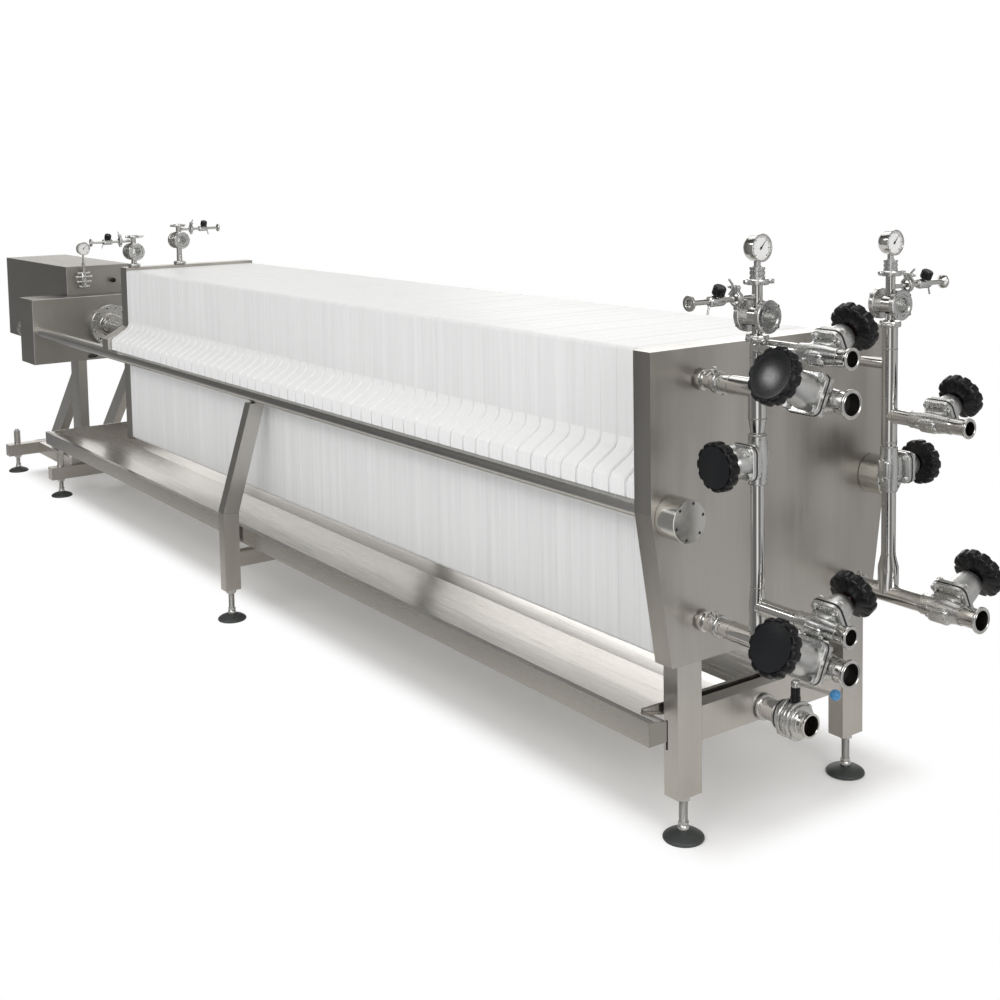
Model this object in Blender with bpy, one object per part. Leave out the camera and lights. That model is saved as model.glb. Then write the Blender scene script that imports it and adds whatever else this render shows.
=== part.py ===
"""Plate filter press with hydraulic closing, two tie rods, a drip tray and stainless pipework.

The press runs along X: the fixed head with its pipework is at the +X end, the hydraulic cylinder at the other.
While it is built, X = 0 is the outer face of the fixed head, Y = 0 the middle and Z = 0 the floor. At the end the
whole press is moved along X and Y so that its bounding box is centred on the origin.
"""
import math

import bmesh
import bpy
from mathutils import Matrix, Vector

# Fits
SEAT_GAP = 0.0003
SLIDE_GAP = 0.0005
EMBED = 0.004

# Tie rods
ROD_SPACING = 0.724
ROD_RADIUS = 0.0275
ROD_HEIGHT = 0.83
CAP_RADIUS = 0.0525
CAP_LENGTH = 0.065
REAR_NUT_RADIUS = 0.045
REAR_NUT_LENGTH = 0.045

# Fixed head and moving head
HEAD_WIDTH = ROD_SPACING + 0.126
HEAD_THICKNESS = 0.06
HEAD_TOP = 1.23
HEAD_BOTTOM = 0.455
HEAD_BOTTOM_WIDTH = 0.724
HEAD_TAPER_TOP = ROD_HEIGHT + 0.01
MOVING_HEAD_THICKNESS = 0.07
MOVING_HEAD_TOP = 1.225
MOVING_HEAD_BOTTOM = 0.435
THRUST_DISC_RADIUS = 0.095
THRUST_DISC_THICKNESS = 0.03

# Plates
PLATE_COUNT = 56
PLATE_PITCH = 0.0646
PLATE_WIDTH = ROD_SPACING - 0.0992
PLATE_TOP = 1.213
PLATE_BOTTOM = 0.4424
LUG_REACH = 0.083
MOVING_LUG_REACH = 0.099
LUG_SHOULDER = ROD_HEIGHT + 0.128
LUG_DROP = 0.053
REAR_BLOCK_PLATES = 28

# Yoke, cylinder and hydraulic enclosure
YOKE_FRONT = -4.82
YOKE_DEPTH = 0.22
YOKE_WIDTH = ROD_SPACING + 0.076
YOKE_HEIGHT = 0.34
YOKE_TOP = ROD_HEIGHT + YOKE_HEIGHT / 2
YOKE_BOTTOM = ROD_HEIGHT - YOKE_HEIGHT / 2
PISTON_HEIGHT = ROD_HEIGHT + 0.012
CYLINDER_RADIUS = 0.0925
CYLINDER_LENGTH = 0.98
CYLINDER_BOTTOM = 0.03
CYLINDER_FLANGE_RADIUS = 0.11
CYLINDER_FLANGE_LENGTH = 0.05
PISTON_RADIUS = 0.05
PISTON_INSERTION = 0.08
ENCLOSURE_WIDTH = 0.35
ENCLOSURE_FRONT = -4.94
ENCLOSURE_REAR = -6.03
ENCLOSURE_TOP = YOKE_TOP + 0.153
ENCLOSURE_BOTTOM = YOKE_BOTTOM + 0.04
CONTROL_BLOCK_DEPTH = 0.07
CONTROL_BLOCK_WIDTH = 0.085
CONTROL_BLOCK_Y = -0.0925
CONTROL_BLOCK_BOTTOM = YOKE_TOP + 0.03
CONTROL_BLOCK_TOP = YOKE_TOP + 0.13
CONTROL_GAUGE_HEIGHT = YOKE_TOP + 0.25
CONTROL_GAUGE_RADIUS = 0.035
KNOB_Y = 0.07
KNOB_HEIGHT = YOKE_TOP + 0.07

# Rear base
BASE_BEAM_WIDTH = 0.06
BASE_BEAM_HEIGHT = 0.062
BASE_BEAM_LENGTH = 0.82
BASE_BEAM_BOTTOM = 0.093
BASE_FRONT = -4.613
BASE_REAR = -5.356
LONG_BEAM_WIDTH = 0.12
LONG_BEAM_SPACING = 0.374
COLUMN_WIDTH = 0.046
COLUMN_DEPTH = 0.12
COLUMN_SPACING = 0.296
BRACE_TOP = YOKE_BOTTOM - 0.08
BRACE_THICKNESS = 0.13
BRACE_FOOT = -5.386
SPINDLE_HOUSING_RADIUS = 0.017
SPINDLE_HOUSING_TOP = 0.222

# Feet
PAD_RADIUS = 0.0525
PAD_THICKNESS = 0.020
FOOT_NECK_RADIUS = 0.018
FOOT_NECK_HEIGHT = 0.018
FOOT_STEM_RADIUS = 0.011
FOOT_NUT_RADIUS = 0.018
FOOT_NUT_THICKNESS = 0.014
REAR_FOOT_SPREAD = 0.71
MID_FOOT_SPREAD = 0.966
NEAR_FOOT_SPREAD = 0.60

# Near legs
LEG_DEPTH = 0.05
LEG_WIDTH = 0.080
LEG_FRONT = -0.005
NEAR_LEG_BOTTOM = 0.115
NEAR_BEAM_TOP = 0.335
NEAR_BEAM_HEIGHT = 0.087
BEARER_LEDGE = 0.04
REAR_BEARER_REACH = 0.113
BEARER_THICKNESS = 0.005

# Mid legs
MID_LEG_X = -2.268
MID_LEG_DEPTH = 0.045
MID_LEG_WIDTH = 0.060
MID_LEG_BOTTOM = 0.115
MID_LEG_BEND = 0.405
MID_BEAM_HEIGHT = 0.055

# Drip tray
TRAY_WIDTH = 0.892
TRAY_FRONT = 0.010
TRAY_BACK = -4.54
TRAY_RIM_TOP = 0.3445
TRAY_RISE = 0.0135
TRAY_RIM_HEIGHT = 0.060
TRAY_RIM_WIDTH = 0.018
TRAY_SHEET = 0.004
TRAY_WING_WIDTH = 0.056
TRAY_CORNER_BACK = -0.12
TRAY_FOLD_WIDTH = 0.150
TRAY_FOLD_DROP = 0.030
TRAY_VALLEY_WIDTH = 0.110
TRAY_VALLEY_BOTTOM = 0.248
TRAY_END_THICKNESS = 0.006
LEG_CLEARANCE = 0.006

# Drain valve
DRAIN_Y = -0.04
DRAIN_RADIUS = 0.028
DRAIN_BODY_START = 0.075
DRAIN_BODY_END = 0.125
DRAIN_BODY_RADIUS = 0.050
DRAIN_END = 0.152
DRAIN_BORE = 0.025
DRAIN_STEM_X = 0.10
DRAIN_STEM_TOP = 0.372
LEVER_HUB_RADIUS = 0.011
LEVER_HUB_HEIGHT = 0.018
LEVER_LENGTH = 0.127
LEVER_RADIUS = 0.004
DRAIN_BALL_RADIUS = 0.0135

# Pipework
PORT_SPREAD = 0.52
TOP_PORT_HEIGHT = 1.150
BOTTOM_PORT_HEIGHT = 0.555
PIPE_RADIUS = 0.0235
RISER_RADIUS = 0.0190
SMALL_PIPE_RADIUS = 0.0190
SLIM_PIPE_RADIUS = 0.0145
PORT_RING_RADIUS = 0.030
PORT_RING_LENGTH = 0.018
CLAMP_RADIUS = 0.030
CLAMP_LENGTH = 0.014
CLAMP_PLACES = (0.061, 0.102)
FERRULE_RADIUS = 0.033
FERRULE_BORE = 0.025
SMALL_FERRULE_RADIUS = 0.02525
SMALL_FERRULE_BORE = 0.018
FERRULE_LENGTH = 0.006
LEFT_RISER_X = 0.183
RIGHT_RISER_X = 0.142
RISER_SPAN = TOP_PORT_HEIGHT - BOTTOM_PORT_HEIGHT
LEFT_MIDDLE_HEIGHT = BOTTOM_PORT_HEIGHT + RISER_SPAN * 0.723
RIGHT_MIDDLE_HEIGHT = BOTTOM_PORT_HEIGHT + RISER_SPAN * 0.5473
LEFT_UPPER_BRANCH = TOP_PORT_HEIGHT + 0.098
LEFT_LOWER_BRANCH = BOTTOM_PORT_HEIGHT + 0.083
RIGHT_BRANCH = RIGHT_MIDDLE_HEIGHT + 0.138
LEFT_REDUCERS = (TOP_PORT_HEIGHT - 0.060, LEFT_MIDDLE_HEIGHT + 0.047, BOTTOM_PORT_HEIGHT + 0.118,
                 BOTTOM_PORT_HEIGHT + 0.090)
RIGHT_REDUCERS = (BOTTOM_PORT_HEIGHT + 0.105, BOTTOM_PORT_HEIGHT + 0.071)
LEFT_VALVE_X = 0.370
LEFT_FERRULE_X = 0.460
RIGHT_SMALL_VALVE_X = 0.272
RIGHT_SMALL_FERRULE_X = 0.382
RIGHT_LARGE_VALVE_X = 0.312
RIGHT_LARGE_FERRULE_X = 0.422
VALVE_TILT = math.radians(25)

# Diaphragm valves: half length, body radius, flange half width, bonnet radius, wheel base and wheel radius
LARGE_VALVE = {"half": 0.058, "body": 0.031, "flange": 0.048, "bonnet": 0.040, "wheel_base": 0.133,
               "wheel": 0.0660, "pipe": PIPE_RADIUS, "ferrule": FERRULE_RADIUS, "bore": FERRULE_BORE}
SMALL_VALVE = {"half": 0.058, "body": 0.025, "flange": 0.040, "bonnet": 0.033, "wheel_base": 0.102,
               "wheel": 0.0580, "pipe": SMALL_PIPE_RADIUS, "ferrule": SMALL_FERRULE_RADIUS,
               "bore": SMALL_FERRULE_BORE}
RUN_SWELL = 1.15
OUTLET_SWELL = 1.08
FLANGE_RISE = 0.030
FLANGE_THICKNESS = 0.024
SPINDLE_RADIUS = 0.006
SPINDLE_HEIGHT = 0.016
WHEEL_HEIGHT = 0.040
WHEEL_CLEARANCE = 0.006
WHEEL_LOBES = 8

# Instruments
SIGHT_RADIUS = 0.031
SIGHT_RING_RADIUS = 0.040
SIGHT_RING_LENGTH = 0.016
SIGHT_DEPTH = 0.080
NECK_RADIUS = 0.012
TUBE_RADIUS = 0.0065
SMALL_CLAMP_RADIUS = 0.0265
SMALL_CLAMP_LENGTH = 0.014
MINI_FERRULE_RADIUS = 0.018
MINI_FERRULE_LENGTH = 0.006
STACK_SIGHT_RISE = 0.050
STACK_SAMPLE_RISE = 0.094
STACK_TOP_CLAMP_RISE = 0.122
STACK_GAUGE_RISE = 0.2065
SAMPLE_REACH = 0.215
LEFT_STACK_BASE = TOP_PORT_HEIGHT + 0.1185
RIGHT_STACK_BASE = TOP_PORT_HEIGHT + 0.1035
GAUGE_RADIUS = 0.0325
GAUGE_DEPTH = 0.034
VENT_LEFT_Y = -0.26
VENT_RIGHT_Y = -0.04
VENT_LEFT_RISE = 0.070
VENT_RIGHT_RISE = 0.112
VENT_SAMPLE_RISE = 0.050
VENT_TOP_RISE = 0.075
VENT_REACH = 0.20

# Facets round a circle
FINE = 24
ROUND = 14
COARSE = 8
FACET_PHASE = 0.05

# Where the pieces meet, worked out from the sizes above
ROD_Y = ROD_SPACING / 2
PORT_Y = PORT_SPREAD / 2
PLATE_HALF = PLATE_WIDTH / 2
PACK_FRONT = -HEAD_THICKNESS - SEAT_GAP
PACK_REAR = PACK_FRONT - PLATE_COUNT * PLATE_PITCH
MOVING_FRONT = PACK_REAR - SEAT_GAP
MOVING_REAR = MOVING_FRONT - MOVING_HEAD_THICKNESS
YOKE_REAR = YOKE_FRONT - YOKE_DEPTH
LUG_SEAT = ROD_HEIGHT + ROD_RADIUS + SEAT_GAP
BASE_BEAM_TOP = BASE_BEAM_BOTTOM + BASE_BEAM_HEIGHT
LEG_BACK = LEG_FRONT - LEG_DEPTH
TRAY_MAIN_FRONT = LEG_BACK - LEG_CLEARANCE
BEARER_TOP = TRAY_VALLEY_BOTTOM - SEAT_GAP
DRAIN_HEIGHT = TRAY_VALLEY_BOTTOM + TRAY_SHEET + DRAIN_RADIUS
X_AXIS = Vector((1, 0, 0))
Y_AXIS = Vector((0, 1, 0))
Z_AXIS = Vector((0, 0, 1))


def clear_scene():
    for old in list(bpy.data.objects):
        bpy.data.objects.remove(old, do_unlink=True)


def material(name, colour, roughness, metallic):
    made = bpy.data.materials.new(name)
    made.use_nodes = True
    shader = made.node_tree.nodes["Principled BSDF"]
    shader.inputs["Base Color"].default_value = (*colour, 1.0)
    shader.inputs["Roughness"].default_value = roughness
    shader.inputs["Metallic"].default_value = metallic
    return made


def add_object(name, mesh, parent, surface):
    """One object of the press, with its material, under its parent empty."""
    made = bpy.data.objects.new(name, mesh)
    bpy.context.scene.collection.objects.link(made)
    made.parent = parent
    if not mesh.materials:
        mesh.materials.append(surface)
    return made


def mesh_from(bm, name, angle=math.radians(35)):
    """Closes a bmesh into a mesh with outward faces, smooth but for its sharp edges."""
    bmesh.ops.recalc_face_normals(bm, faces=bm.faces)
    mesh = bpy.data.meshes.new(name)
    bm.to_mesh(mesh)
    bm.free()
    mesh.shade_smooth()
    mesh.set_sharp_from_angle(angle=angle)
    return mesh


def rounded(made, width, segments=2):
    bevel = made.modifiers.new("rounding", "BEVEL")
    bevel.width = width
    bevel.segments = segments
    bevel.limit_method = "ANGLE"
    bevel.angle_limit = math.radians(40)
    return made


def joined(made, *others):
    """Unites solids with the first one; the others stay as hidden guides."""
    for other in others:
        other.hide_render = True
        other.display_type = "WIRE"
        fuse = made.modifiers.new("join", "BOOLEAN")
        fuse.operation = "UNION"
        fuse.solver = "EXACT"
        fuse.object = other
    return made


def cut(made, *cutters):
    for cutter in cutters:
        cutter.hide_render = True
        cutter.display_type = "WIRE"
        drill = made.modifiers.new("cut", "BOOLEAN")
        drill.operation = "DIFFERENCE"
        drill.solver = "EXACT"
        drill.object = cutter
    return made


def block_mesh(name, low, high):
    bm = bmesh.new()
    bmesh.ops.create_cube(bm, size=1.0)
    size = [b - a for a, b in zip(low, high)]
    centre = [(a + b) / 2 for a, b in zip(low, high)]
    bmesh.ops.scale(bm, vec=size, verts=bm.verts)
    bmesh.ops.translate(bm, vec=centre, verts=bm.verts)
    return mesh_from(bm, name)


def block(name, low, high, parent, surface):
    return add_object(name, block_mesh(name, low, high), parent, surface)


def prism(name, outline, start, end, parent, surface, axis="X"):
    """A flat outline drawn out from start to end along X (outline in Y, Z) or along Y (outline in X, Z)."""
    bm = bmesh.new()
    rings = []
    for level in (start, end):
        if axis == "X":
            points = [(level, a, b) for a, b in outline]
        else:
            points = [(a, level, b) for a, b in outline]
        rings.append([bm.verts.new(point) for point in points])
    bm.faces.new(rings[0])
    bm.faces.new(reversed(rings[1]))
    count = len(outline)
    for i in range(count):
        j = (i + 1) % count
        bm.faces.new((rings[0][i], rings[1][i], rings[1][j], rings[0][j]))
    return add_object(name, mesh_from(bm, name), parent, surface)


def turned_mesh(name, profile, segments, lobe=None):
    """A profile of (height, radius) points turned about Z; lobe(angle, radius) may shape its rim."""
    bm = bmesh.new()
    rings = []
    for height, radius in profile:
        if radius == 0:
            rings.append([bm.verts.new((0, 0, height))])
            continue
        ring = []
        for i in range(segments):
            angle = 2 * math.pi * i / segments + FACET_PHASE
            reach = lobe(angle, radius) if lobe else radius
            ring.append(bm.verts.new((reach * math.cos(angle), reach * math.sin(angle), height)))
        rings.append(ring)
    pairs = list(zip(rings, rings[1:]))
    if profile[0][1] > 0 and profile[-1][1] > 0:
        pairs.append((rings[-1], rings[0]))
    for low, high in pairs:
        for i in range(segments):
            j = (i + 1) % segments
            corners = [low[i % len(low)], low[j % len(low)], high[j % len(high)], high[i % len(high)]]
            distinct = list(dict.fromkeys(corners))
            if len(distinct) > 2:
                bm.faces.new(distinct)
    return mesh_from(bm, name)


def facing(origin, direction):
    """The placement that puts local Z along a direction, at an origin."""
    turn = Vector(direction).to_track_quat("Z", "Y").to_matrix().to_4x4()
    return Matrix.Translation(Vector(origin)) @ turn


def turned(name, profile, origin, direction, parent, surface, segments=ROUND):
    made = add_object(name, turned_mesh(name, profile, segments), parent, surface)
    made.matrix_local = facing(origin, direction)
    return made


def bar(name, start, end, radius, parent, surface, segments=ROUND):
    """A round bar from one point to another."""
    reach = Vector(end) - Vector(start)
    profile = [(0, 0), (0, radius), (reach.length, radius), (reach.length, 0)]
    return turned(name, profile, start, reach, parent, surface, segments)


def ring_profile(start, end, radius):
    return [(start, 0), (start, radius), (end, radius), (end, 0)]


def plate_outline(half, top, bottom, lug_reach, lug_seat, shoulder, drop):
    """A plate with a lug on each side that rests on the tie rod, as (Y, Z) points."""
    reach = half + lug_reach
    right = [
        (half, bottom),
        (half, lug_seat),
        (reach, lug_seat),
        (reach, shoulder - drop),
        (half, shoulder),
        (half, top),
    ]
    left = [(-y, z) for y, z in reversed(right)]
    return right + left


def fixed_head(press, steel):
    half = HEAD_WIDTH / 2
    base = HEAD_BOTTOM_WIDTH / 2
    outline = [(-base, HEAD_BOTTOM), (base, HEAD_BOTTOM), (half, HEAD_TAPER_TOP), (half, HEAD_TOP),
               (-half, HEAD_TOP), (-half, HEAD_TAPER_TOP)]
    head = prism("fixed_head", outline, -HEAD_THICKNESS, 0, press, steel)
    holes = []
    for side in (-1, 1):
        start = (EMBED, side * ROD_Y, ROD_HEIGHT)
        end = (-HEAD_THICKNESS - EMBED, side * ROD_Y, ROD_HEIGHT)
        holes.append(bar("head_rod_hole", start, end, ROD_RADIUS + SEAT_GAP, press, steel, FINE))
    cut(head, *holes)


def tie_rods(press, bright):
    for side, name in ((-1, "left"), (1, "right")):
        place = (0, side * ROD_Y, ROD_HEIGHT)
        nut_start = -YOKE_REAR + SEAT_GAP
        nut_end = nut_start + REAR_NUT_LENGTH
        rod = [(0, 0), (0, ROD_RADIUS), (nut_start, ROD_RADIUS), (nut_start, REAR_NUT_RADIUS),
               (nut_end, REAR_NUT_RADIUS), (nut_end, 0)]
        turned(f"tie_rod_{name}", rod, place, -X_AXIS, press, bright, FINE)
        edge = 0.003
        cap = [(SEAT_GAP, 0), (SEAT_GAP, CAP_RADIUS), (CAP_LENGTH - edge, CAP_RADIUS),
               (CAP_LENGTH, CAP_RADIUS - edge), (CAP_LENGTH, 0)]
        turned(f"rod_cap_{name}", cap, place, X_AXIS, press, bright, FINE)


def plate_pack(press, plastic):
    """The plates, pressed together, in a rear and a front block."""
    outline = plate_outline(PLATE_HALF, PLATE_TOP, PLATE_BOTTOM, LUG_REACH, LUG_SEAT, LUG_SHOULDER, LUG_DROP)
    parting = PACK_REAR + REAR_BLOCK_PLATES * PLATE_PITCH
    prism("plate_pack_front", outline, PACK_FRONT, parting + SEAT_GAP, press, plastic)
    prism("plate_pack_rear", outline, parting, PACK_REAR, press, plastic)


def moving_head(press, steel, bright):
    """The moving head slides on the tie rods; the piston rod pushes it."""
    slide = bpy.data.objects.new("slide_axis", None)
    bpy.context.scene.collection.objects.link(slide)
    slide.parent = press
    slide.location = (MOVING_FRONT, 0, ROD_HEIGHT)
    outline = plate_outline(PLATE_HALF, MOVING_HEAD_TOP - ROD_HEIGHT, MOVING_HEAD_BOTTOM - ROD_HEIGHT,
                            MOVING_LUG_REACH, LUG_SEAT - ROD_HEIGHT, LUG_SHOULDER - ROD_HEIGHT, LUG_DROP)
    prism("moving_head", outline, -MOVING_HEAD_THICKNESS, 0, slide, steel)
    disc_start = MOVING_HEAD_THICKNESS + SEAT_GAP
    disc_end = disc_start + THRUST_DISC_THICKNESS
    rod_end = MOVING_FRONT - YOKE_FRONT + PISTON_INSERTION
    profile = [(disc_start, 0), (disc_start, THRUST_DISC_RADIUS), (disc_end, THRUST_DISC_RADIUS),
               (disc_end, PISTON_RADIUS), (rod_end, PISTON_RADIUS), (rod_end, 0)]
    turned("piston_rod", profile, (0, 0, PISTON_HEIGHT - ROD_HEIGHT), -X_AXIS, slide, bright, FINE)
    return slide


def yoke_and_cylinder(press, steel, dark, bright):
    low = (YOKE_REAR, -YOKE_WIDTH / 2, YOKE_BOTTOM)
    high = (YOKE_FRONT, YOKE_WIDTH / 2, YOKE_TOP)
    yoke = block("yoke", low, high, press, steel)
    holes = []
    for y, height, radius in ((-ROD_Y, ROD_HEIGHT, ROD_RADIUS), (ROD_Y, ROD_HEIGHT, ROD_RADIUS),
                              (0, PISTON_HEIGHT, CYLINDER_RADIUS)):
        start = (YOKE_FRONT + EMBED, y, height)
        end = (YOKE_REAR - EMBED, y, height)
        holes.append(bar("yoke_hole", start, end, radius + SEAT_GAP, press, steel, FINE))
    cut(yoke, *holes)

    bore = PISTON_RADIUS + SLIDE_GAP
    bottom = CYLINDER_LENGTH - CYLINDER_BOTTOM
    flange_end = SEAT_GAP + CYLINDER_FLANGE_LENGTH
    profile = [(bottom, 0), (bottom, bore), (-flange_end, bore), (-flange_end, CYLINDER_FLANGE_RADIUS),
               (-SEAT_GAP, CYLINDER_FLANGE_RADIUS), (-SEAT_GAP, CYLINDER_RADIUS),
               (CYLINDER_LENGTH, CYLINDER_RADIUS), (CYLINDER_LENGTH, 0)]
    turned("hydraulic_cylinder", profile, (YOKE_FRONT, 0, PISTON_HEIGHT), -X_AXIS, press, bright, FINE)

    half = ENCLOSURE_WIDTH / 2
    ledge = YOKE_TOP + SEAT_GAP
    step = YOKE_REAR - SEAT_GAP
    outline = [(ENCLOSURE_FRONT, ledge), (ENCLOSURE_FRONT, ENCLOSURE_TOP), (ENCLOSURE_REAR, ENCLOSURE_TOP),
               (ENCLOSURE_REAR, ENCLOSURE_BOTTOM), (step, ENCLOSURE_BOTTOM), (step, ledge)]
    box = prism("hydraulic_enclosure", outline, -half, half, press, dark, axis="Y")
    start = (YOKE_REAR + EMBED, 0, PISTON_HEIGHT)
    end = (YOKE_FRONT - CYLINDER_LENGTH - SEAT_GAP, 0, PISTON_HEIGHT)
    cut(box, bar("enclosure_hole", start, end, CYLINDER_RADIUS + SEAT_GAP, press, dark, FINE))


def hydraulic_control(press, steel, bright, black):
    """The valve block on the front of the enclosure, with its pressure gauge, and a knob beside it."""
    back = ENCLOSURE_FRONT + SEAT_GAP
    front = ENCLOSURE_FRONT + CONTROL_BLOCK_DEPTH
    half = CONTROL_BLOCK_WIDTH / 2
    low = (back, CONTROL_BLOCK_Y - half, CONTROL_BLOCK_BOTTOM)
    high = (front, CONTROL_BLOCK_Y + half, CONTROL_BLOCK_TOP)
    control = block("hydraulic_control", low, high, press, steel)
    x = (back + front) / 2
    stem = bar("control_stem", (x, CONTROL_BLOCK_Y, CONTROL_BLOCK_TOP - EMBED),
               (x, CONTROL_BLOCK_Y, CONTROL_GAUGE_HEIGHT), 0.008, press, bright, COARSE)
    case = bar("control_case", (x - GAUGE_DEPTH / 2, CONTROL_BLOCK_Y, CONTROL_GAUGE_HEIGHT),
               (x + GAUGE_DEPTH / 2, CONTROL_BLOCK_Y, CONTROL_GAUGE_HEIGHT), CONTROL_GAUGE_RADIUS, press, bright)
    joined(control, stem, case)
    knob = [(SEAT_GAP, 0), (SEAT_GAP, 0.008), (0.02, 0.008), (0.02, 0.018), (0.04, 0.018), (0.04, 0)]
    turned("control_knob", knob, (ENCLOSURE_FRONT, KNOB_Y, KNOB_HEIGHT), X_AXIS, press, black, COARSE)


def foot(name, x, y, top, press, rubber):
    """A levelling foot: a pad on the floor, its neck, a stem and the nut under the leg."""
    neck_top = PAD_THICKNESS + FOOT_NECK_HEIGHT
    nut_top = top - SEAT_GAP
    nut_bottom = nut_top - FOOT_NUT_THICKNESS
    profile = [(0, 0), (0, PAD_RADIUS - 0.003), (0.004, PAD_RADIUS), (PAD_THICKNESS * 0.5, PAD_RADIUS * 0.94),
               (PAD_THICKNESS, FOOT_NECK_RADIUS), (neck_top, FOOT_NECK_RADIUS), (neck_top, FOOT_STEM_RADIUS),
               (nut_bottom, FOOT_STEM_RADIUS), (nut_bottom, FOOT_NUT_RADIUS), (nut_top, FOOT_NUT_RADIUS),
               (nut_top, 0)]
    turned(name, profile, (x, y, 0), Z_AXIS, press, rubber)


def rear_base(press, steel, rubber):
    half = BASE_BEAM_WIDTH / 2
    for x, place in ((BASE_FRONT, "front"), (BASE_REAR, "rear")):
        low = (x - half, -BASE_BEAM_LENGTH / 2, BASE_BEAM_BOTTOM)
        high = (x + half, BASE_BEAM_LENGTH / 2, BASE_BEAM_TOP)
        beam = block(f"base_cross_beam_{place}", low, high, press, steel)
        housings = []
        for side, name in ((-1, "left"), (1, "right")):
            y = side * REAR_FOOT_SPREAD / 2
            foot(f"foot_{place}_{name}", x, y, BASE_BEAM_BOTTOM, press, rubber)
            start = (x, y, BASE_BEAM_TOP - EMBED)
            housings.append(bar("spindle_housing", start, (x, y, SPINDLE_HOUSING_TOP), SPINDLE_HOUSING_RADIUS,
                                press, steel))
        joined(beam, *housings)
        if place == "front":
            joined(beam, *rear_bearer(x, press, steel))
    for side, name in ((-1, "left"), (1, "right")):
        y = side * LONG_BEAM_SPACING / 2
        low = (BASE_REAR + half + SEAT_GAP, y - LONG_BEAM_WIDTH / 2, BASE_BEAM_BOTTOM)
        high = (BASE_FRONT - half - SEAT_GAP, y + LONG_BEAM_WIDTH / 2, BASE_BEAM_TOP)
        block(f"base_long_beam_{name}", low, high, press, steel)
        rear_stand(name, side * COLUMN_SPACING / 2, press, steel)


def rear_bearer(x, press, steel):
    """The angle on the front base beam that carries the rear end of the tray."""
    reach = TRAY_WIDTH / 2 - TRAY_FOLD_WIDTH
    front = x + REAR_BEARER_REACH
    top = BEARER_TOP + tray_level(front)
    post = block("bearer_post", (x - BEARER_THICKNESS, -reach, BASE_BEAM_TOP - EMBED), (x, reach, top), press, steel)
    shelf = block("bearer_shelf", (x - BEARER_THICKNESS / 2, -reach, top - BEARER_THICKNESS), (front, reach, top),
                  press, steel)
    return post, shelf


def rear_stand(name, y, press, steel):
    """A column under the yoke with its sloping brace, seen from the side as (X, Z)."""
    top = YOKE_BOTTOM - SEAT_GAP
    bottom = BASE_BEAM_TOP + SEAT_GAP
    front = YOKE_FRONT - 0.002
    back = front - COLUMN_DEPTH
    slope = (back - BRACE_FOOT) / (BRACE_TOP - bottom)
    inner_foot = BRACE_FOOT + BRACE_THICKNESS
    inner_top = bottom + (back - inner_foot) / slope
    outline = [(front, bottom), (front, top), (back, top), (back, BRACE_TOP), (BRACE_FOOT, bottom),
               (inner_foot, bottom), (back, inner_top), (back, bottom)]
    prism(f"rear_stand_{name}", outline, y - COLUMN_WIDTH / 2, y + COLUMN_WIDTH / 2, press, steel, axis="Y")


def near_legs(press, steel, rubber):
    top = HEAD_BOTTOM - SEAT_GAP
    reach = NEAR_FOOT_SPREAD / 2
    legs = []
    for side, name in ((-1, "left"), (1, "right")):
        middle = side * reach
        low = (LEG_BACK, middle - LEG_WIDTH / 2, NEAR_LEG_BOTTOM)
        high = (LEG_FRONT, middle + LEG_WIDTH / 2, top)
        legs.append(block("near_leg", low, high, press, steel))
        foot(f"foot_near_{name}", (LEG_FRONT + LEG_BACK) / 2, middle, NEAR_LEG_BOTTOM, press, rubber)
    beam_bottom = NEAR_BEAM_TOP - NEAR_BEAM_HEIGHT
    inset = 0.003
    low = (LEG_BACK + inset, -reach, beam_bottom)
    high = (LEG_FRONT - inset, reach, NEAR_BEAM_TOP)
    frame = block("front_stand", low, high, press, steel)
    shelf_low = (LEG_BACK - BEARER_LEDGE, -reach + LEG_WIDTH, BEARER_TOP - BEARER_THICKNESS)
    shelf_high = (LEG_BACK + inset + EMBED, reach - LEG_WIDTH, BEARER_TOP)
    shelf = block("near_bearer", shelf_low, shelf_high, press, steel)
    post_low = (LEG_BACK - 0.002, shelf_low[1], shelf_low[2])
    post_high = (LEG_BACK + inset + EMBED, shelf_high[1], beam_bottom + 0.03)
    post = block("near_bearer_post", post_low, post_high, press, steel)
    joined(frame, *legs, post, shelf)
    start = (LEG_BACK - EMBED, DRAIN_Y, DRAIN_HEIGHT)
    end = (LEG_FRONT + EMBED, DRAIN_Y, DRAIN_HEIGHT)
    cut(frame, bar("drain_hole", start, end, DRAIN_RADIUS + SEAT_GAP, press, steel))


def mid_legs(press, steel, rubber):
    """A bent leg each side, from the tie rod out and down past the tray, and a beam under the tray."""
    back = MID_LEG_X - MID_LEG_DEPTH / 2
    front = MID_LEG_X + MID_LEG_DEPTH / 2
    outer = MID_FOOT_SPREAD / 2 + MID_LEG_WIDTH / 2
    inner = MID_FOOT_SPREAD / 2 - MID_LEG_WIDTH / 2
    top = ROD_HEIGHT - ROD_RADIUS - SEAT_GAP
    top_inner = ROD_Y - MID_LEG_WIDTH / 2
    top_outer = ROD_Y + MID_LEG_WIDTH / 2
    kink = 0.004
    for side, name in ((-1, "left"), (1, "right")):
        corners = [(inner, MID_LEG_BOTTOM), (outer, MID_LEG_BOTTOM), (outer, MID_LEG_BEND + kink),
                   (top_outer, top), (top_inner, top), (inner, MID_LEG_BEND - kink)]
        outline = [(side * y, z) for y, z in corners]
        prism(f"mid_leg_{name}", outline, back, front, press, steel)
        foot(f"foot_mid_{name}", MID_LEG_X, side * MID_FOOT_SPREAD / 2, MID_LEG_BOTTOM, press, rubber)
    reach = inner - SEAT_GAP
    beam_top = BEARER_TOP + tray_level(front)
    block("mid_cross_beam", (back, -reach, beam_top - MID_BEAM_HEIGHT), (front, reach, beam_top), press, steel)


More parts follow.
